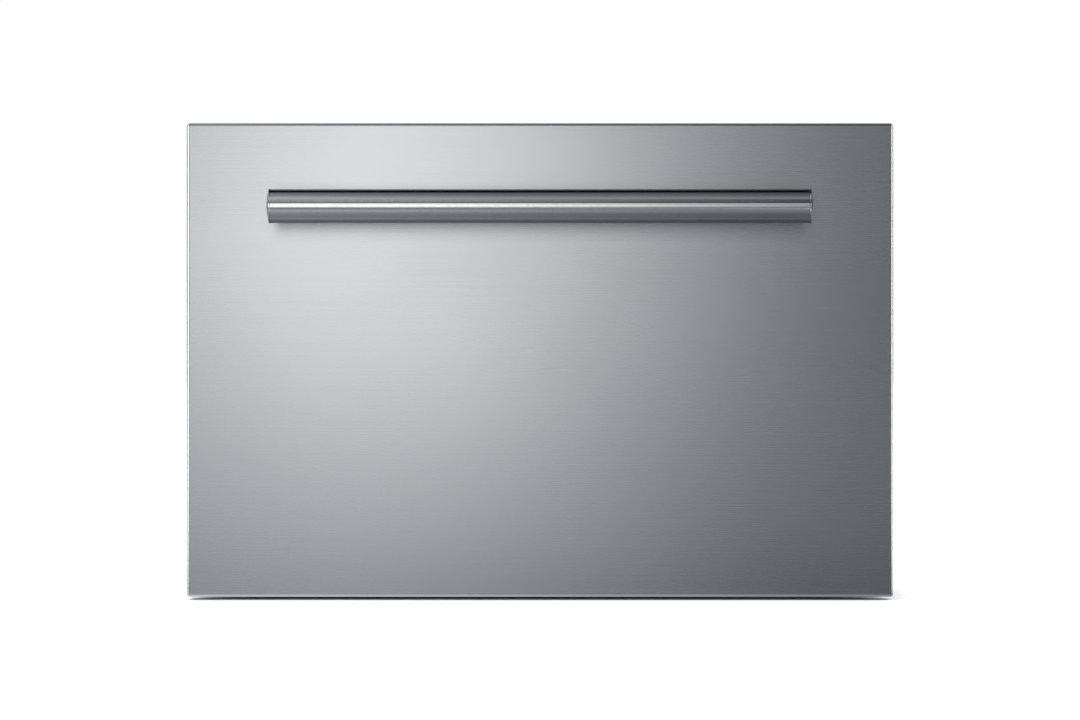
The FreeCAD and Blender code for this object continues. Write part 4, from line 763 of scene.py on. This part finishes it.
socket_floor = inlet_high[1] - 0.016
pin_apart, pin_raised, pin_length = 0.0061, 0.002, 0.0132
pins = []
for across, up in ((-pin_apart, -pin_raised), (0, pin_raised), (pin_apart, -pin_raised)):
    middle = (inlet_middle[0] + across, inlet_middle[2] + up)
    pins.append(inlet_pin(middle, socket_floor, socket_floor + pin_length))
piece("inlet_pins", pins, plated_steel, "cabinet")
ear, ear_face = 0.0195, inlet_high[1] - 0.0002
places = [(inlet_middle[0] + x, ear_face, inlet_middle[2]) for x in (-ear, ear)]
inlet_screws = screw_heads(places, 1, 1, radius=0.0028, height=0.0007)
piece("inlet_screws", [inlet_screws], plated_steel, "cabinet")


# The controls over the opening: a moulded strip with a smoked acrylic window and three keys on springs. Each
# key bears a raised and painted mark, a ring for power and a triangle for up and for down.

moulded_black.cover("control_bezel")
smoked_window = Finish(
    "smoked_acrylic", {"Specular IOR Level": 0.5, "Coat Weight": 0.6, "Coat Roughness": 0.03},
)
wiped = smoked_window.grain((30, 30, 90), detail=4)
smoked_window.feed("Base Color", smoked_window.tint(wiped, (0.010, 0.010, 0.012), (0.018, 0.018, 0.020)))
smoked_window.feed("Roughness", smoked_window.between(wiped, 0.05, 0.14))
smoked_window.cover("display_window")

key_cap = Finish("key_cap", {"Specular IOR Level": 0.4})
key_cap.soften(0.0004)
matt = key_cap.grain((3000, 3000, 3000), detail=2)
touched = key_cap.grain((260, 260, 260), detail=3)
key_cap.feed("Base Color", key_cap.tint(touched, (0.12, 0.12, 0.125), (0.16, 0.16, 0.165)))
key_cap.feed("Roughness", key_cap.between(touched, 0.4, 0.6))
key_cap.emboss(matt, 0.000012)
key_cap.cover("button_power", "button_up", "button_down")

mark_paint = Finish("key_mark", {"Specular IOR Level": 0.4})
printed = mark_paint.grain((2000, 2000, 2000), detail=2)
mark_paint.feed("Base Color", mark_paint.tint(printed, (0.62, 0.63, 0.64), (0.74, 0.75, 0.76)))
mark_paint.feed("Roughness", mark_paint.between(printed, 0.45, 0.6))

raised, reach = -0.0001, 0.0022
ring = [(0, reach), (raised, 0.0021), (raised, 0.0018), (0, 0.0017)]
triangle = [(0, 0), (0, reach), (raised, 0.0021), (raised, 0)]
for word, profile, way, columns, looped in (
    ("power", ring, 1, 32, True),
    ("up", triangle, 1, 3, False),
    ("down", triangle, -1, 3, False),
):
    low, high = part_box(f"button_{word}")
    middle = ((low[0] + high[0]) / 2, low[1], (low[2] + high[2]) / 2)
    mark = turned([(along, radius * way) for along, radius in profile], 1, middle, columns, looped)
    piece(f"{word}_mark", [mark], mark_paint, f"{word}_key")


# The lamp in the ceiling of the cavity: a moulded lens of frosted acrylic, pressed into the liner over its
# row of light emitting diodes. It is shown unlit.

frosted_lens = Finish("frosted_lens", {"Transmission Weight": 0.55, "IOR": 1.49})
frost = frosted_lens.grain((1600, 1600, 1600), detail=2)
frosted_lens.feed("Base Color", frosted_lens.tint(frost, (0.86, 0.88, 0.90), (0.94, 0.95, 0.96)))
frosted_lens.feed("Roughness", frosted_lens.between(frost, 0.38, 0.5))
frosted_lens.emboss(frost, 0.00002)
frosted_lens.cover("lamp_lens")


# The cards round the object, which only its gloss sees: they give the steel its bright and dark parts, as
# a photographer's cards do. One stands in front, one lies on the floor, one is the ceiling, and at each
# side a strip light and a dark flag make the outlines.


class Glow(Finish):
    """A card's material: light whose strength a level function works out from the place on the card, and
    whose colour goes from cool where it is dim to white where it is bright."""

    def __init__(self, name, level):
        super().__init__(name, {})
        place = self.add("TexCoord").outputs["Object"]
        self.x, self.y, self.z = self.add("SeparateXYZ", {"Vector": place}).outputs
        strength = level(self)
        warm = self.between(strength, 0, 1, 0.1, 0.8)
        colour = self.tint(warm, (0.84, 0.93, 1.02), (1, 1, 1))
        light = self.add("Emission", {"Color": colour, "Strength": strength})
        self.join(self.tree.nodes["Material Output"].inputs["Surface"], light.outputs[0])

    def hump(self, coordinate, middle, width, height):
        """Height times exp(-((coordinate - middle) / width) squared)."""
        off = self.work("DIVIDE", self.work("SUBTRACT", coordinate, middle), width)
        fall = self.work("EXPONENT", self.work("MULTIPLY", self.work("MULTIPLY", off, off), -1.0))
        return self.work("MULTIPLY", fall, height)

    def slope(self, coordinate, start, stop, low, high):
        """From low to high as the coordinate goes from start to stop, and level outside."""
        return self.between(coordinate, low, high, start, stop)

    def times(self, *values):
        """The product of the values."""
        product = values[0]
        for value in values[1:]:
            product = self.work("MULTIPLY", product, value)
        return product

    def plus(self, *values):
        """The sum of the values."""
        total = values[0]
        for value in values[1:]:
            total = self.work("ADD", total, value)
        return total


def card(name, corners, material, glossy_only=True):
    """A flat four-cornered card, which isn't part of the object. Nothing but gloss sees a glossy-only one."""
    mesh = bpy.data.meshes.new(name)
    mesh.from_pydata(corners, [], [(0, 1, 2, 3)])
    mesh.materials.append(material)
    made = bpy.data.objects.new(name, mesh)
    bpy.context.scene.collection.objects.link(made)
    made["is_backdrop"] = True
    if glossy_only:
        made.visible_camera = False
        made.visible_diffuse = False
        made.visible_shadow = False
        made.visible_transmission = False


front_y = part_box("front_skin")[0][1]
card_y, low_z, roof_z, roof_back = front_y - 1.33, 0.002, 1.65, 1.4
left_end, right_end = -1.34, 2.0


def front_level(g):
    """A wide softbox, soft below and sharp above, that fades to both sides from a little left of the middle,
    and a dimmer wall over it."""
    sideways = g.hump(g.x, -0.215, 0.385, 1.0)
    edges = g.times(g.slope(g.z, 0.02, 0.235, 0, 1), g.slope(g.z, 0.69, 0.75, 1, 0))
    spill = g.times(g.slope(g.x, -0.1, 0.35, 0, 0.26), g.slope(g.z, 0.54, 0.6, 0, 1))
    band = g.times(g.slope(g.z, 0.27, 0.7, 1.43, 1.12), g.plus(sideways, 0.03))
    fading = g.times(g.slope(g.z, 0.8, 1.15, 0.14, 0.42), g.slope(g.x, -0.18, 0.05, 1, 0.62))
    wall = g.times(fading, g.plus(sideways, 0.05))
    foot = g.times(g.slope(g.z, 0.1, 0.3, 0.05, 0), g.slope(g.x, 0.12, 0.45, 0, 1))
    return g.plus(g.times(edges, g.plus(band, spill)), wall, foot, 0.032)


def low_level(g):
    """A table top that is lighter on the left near the object and on the right far from it, with a brighter
    stripe across it, a pale lip under the front, and ends that brighten outwards."""
    stripe = g.hump(g.y, front_y - 0.56, 0.22, 0.26)
    lip = g.slope(g.y, front_y - 0.01, front_y - 0.003, 0, 0.6)
    near = g.plus(g.slope(g.y, front_y - 0.9, front_y - 0.7, 0, 0.29), stripe, lip)
    far = g.times(g.slope(g.y, front_y - 0.95, front_y - 0.7, 0.33, 0), g.slope(g.x, -0.35, 0.35, 0.75, 1.15))
    ends = g.plus(g.slope(g.x, -0.95, -0.5, 1.5, 0), g.slope(g.x, 0.5, 0.95, 0, 1.5))
    across = g.times(g.slope(g.x, -0.35, 0.35, 1.0, 0.3), g.slope(g.x, -0.34, -0.19, 0.85, 1))
    return g.plus(g.times(near, across), far, ends, g.slope(g.x, 0.22, 0.34, 0, 0.05))


def roof_level(g):
    """A ceiling, brightest at the far left, that darkens towards the object and is black behind it."""
    near = g.slope(g.y, front_y - 0.85, front_y - 0.3, 0.38, 0.2)
    across = g.plus(g.slope(g.x, -0.55, -0.2, 0.9, 0), g.slope(g.x, -0.2, 0.5, 1.0, 0.5))
    return g.times(near, across, g.slope(g.y, front_y, front_y + 0.45, 1, 0.02))


def flag_level(g):
    """Dark grey, a little lighter on the left."""
    return g.slope(g.x, -1, 1, 0.3, 0.1)


def strip_level(g):
    """An even strip light."""
    return 3.0


for name, level, near, far in (
    ("front_card", front_level, (card_y, 0), (card_y, roof_z)),
    ("low_card", low_level, (card_y, low_z), (front_y + 0.012, low_z)),
    ("roof_card", roof_level, (card_y, roof_z), (roof_back, roof_z)),
):
    corners = [(left_end, *near), (right_end, *near), (right_end, *far), (left_end, *far)]
    card(name, corners, Glow(name, level).material)

flag = Glow("side_flag", flag_level).material
strip = Glow("side_strip", strip_level).material
left_bend, right_bend, side_height = (-1.9, -0.85), (2.2, -0.6), 1.2
for name, surface, start, stop in (
    ("left_strip", strip, (left_end, card_y), left_bend),
    ("left_flag", flag, left_bend, (-1.5, 2.4)),
    ("right_strip", strip, (right_end, card_y), right_bend),
    ("right_flag", flag, right_bend, (1.6, 2.4)),
):
    corners = [(*start, 0), (*stop, 0), (*stop, side_height), (*start, side_height)]
    card(name, corners, surface)


# The floor and the surround: a pale floor that keeps the object's shadow, and whose glow fades where the
# object nearly touches it, a painted contact shadow; and a sky that looks white, and lights the object at
# about half of that.

pale_floor = Finish("pale_floor", {"Base Color": (0.9, 0.9, 0.9), "Roughness": 0.9, "Specular IOR Level": 0})
path = pale_floor.add("LightPath").outputs
seen = pale_floor.work("MAXIMUM", path["Is Camera Ray"], path["Is Glossy Ray"])
seen = pale_floor.work("MAXIMUM", seen, path["Is Transmission Ray"])
# Ambient occlusion dims the floor's glow under and beside the object's edges: a painted contact shadow.
painted_contact_shadow = pale_floor.add("AmbientOcclusion", {"Distance": 0.05}, samples=8).outputs["AO"]
painted_contact_shadow = pale_floor.work("POWER", painted_contact_shadow, 1.5)
pale_floor.feed("Emission Color", (1, 1, 1))
shown = pale_floor.work("MULTIPLY", seen, pale_floor.work("MULTIPLY", painted_contact_shadow, 0.78))
pale_floor.feed("Emission Strength", shown)
floor_side, floor_back = 14, 30
floor_near = [(-floor_side, -floor_side, 0), (floor_side, -floor_side, 0)]
floor_far = [(floor_side, floor_back, 0), (-floor_side, floor_back, 0)]
card("floor", floor_near + floor_far, pale_floor.material, glossy_only=False)

world = bpy.data.worlds.new("studio")
bpy.context.scene.world = world
world.use_nodes = True
sky = world.node_tree
path = sky.nodes.new("ShaderNodeLightPath").outputs
seen = path["Is Camera Ray"]
for ray in ("Is Glossy Ray", "Is Transmission Ray"):
    larger = sky.nodes.new("ShaderNodeMath")
    larger.operation = "MAXIMUM"
    sky.links.new(seen, larger.inputs[0])
    sky.links.new(path[ray], larger.inputs[1])
    seen = larger.outputs[0]
level = sky.nodes.new("ShaderNodeMapRange")
level.inputs["To Min"].default_value = 0.55
sky.links.new(seen, level.inputs["Value"])
sky.nodes["Background"].inputs["Color"].default_value = (1, 1, 1, 1)
sky.links.new(level.outputs["Result"], sky.nodes["Background"].inputs["Strength"])


# Two large soft lamps, one in front on the left and a weaker one behind on the right. Gloss doesn't see
# them, so that they light the paint, plastic and wood without a spot in the steel.


def soft_lamp(name, place, aim, size, power):
    """A square lamp that faces a point: its axis is the line from that point to its place."""
    lamp = bpy.data.lights.new(name, "AREA")
    lamp.shape, lamp.size, lamp.energy = "SQUARE", size, power
    made = bpy.data.objects.new(name, lamp)
    bpy.context.scene.collection.objects.link(made)
    made.location = place
    made.rotation_mode = "QUATERNION"
    from_aim = np.array(place, float) - np.array(aim, float)
    made.rotation_quaternion = mathutils.Vector(from_aim).to_track_quat("Z", "Y")
    made.visible_glossy = False


object_middle = (0, 0, 0.2)
soft_lamp("key_lamp", (-1.3, -1.9, 2.3), object_middle, size=1.8, power=42)
soft_lamp("fill_lamp", (1.8, 1.2, 2.4), object_middle, size=2.0, power=22)


# The camera stands square to the front and level with its middle, with a lens that is as wide as the
# photograph: 912 mm at the plane of the front.

bpy.context.scene.view_settings.view_transform = "Standard"

distance, view_width = 3.2, 0.912
camera = bpy.data.cameras.new("camera")
camera.sensor_width = 36
camera.lens = camera.sensor_width * distance / view_width
camera.clip_start, camera.clip_end = 0.05, 100
viewer = bpy.data.objects.new("camera", camera)
bpy.context.scene.collection.objects.link(viewer)
front_low, front_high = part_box("front_skin")
viewer.location = (0, front_low[1] - distance, (front_low[2] + front_high[2]) / 2)
viewer.rotation_euler = (np.pi / 2, 0, 0)
bpy.context.scene.camera = viewer


# The object's box once it is dressed, without the cards and the floor.

low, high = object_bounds()
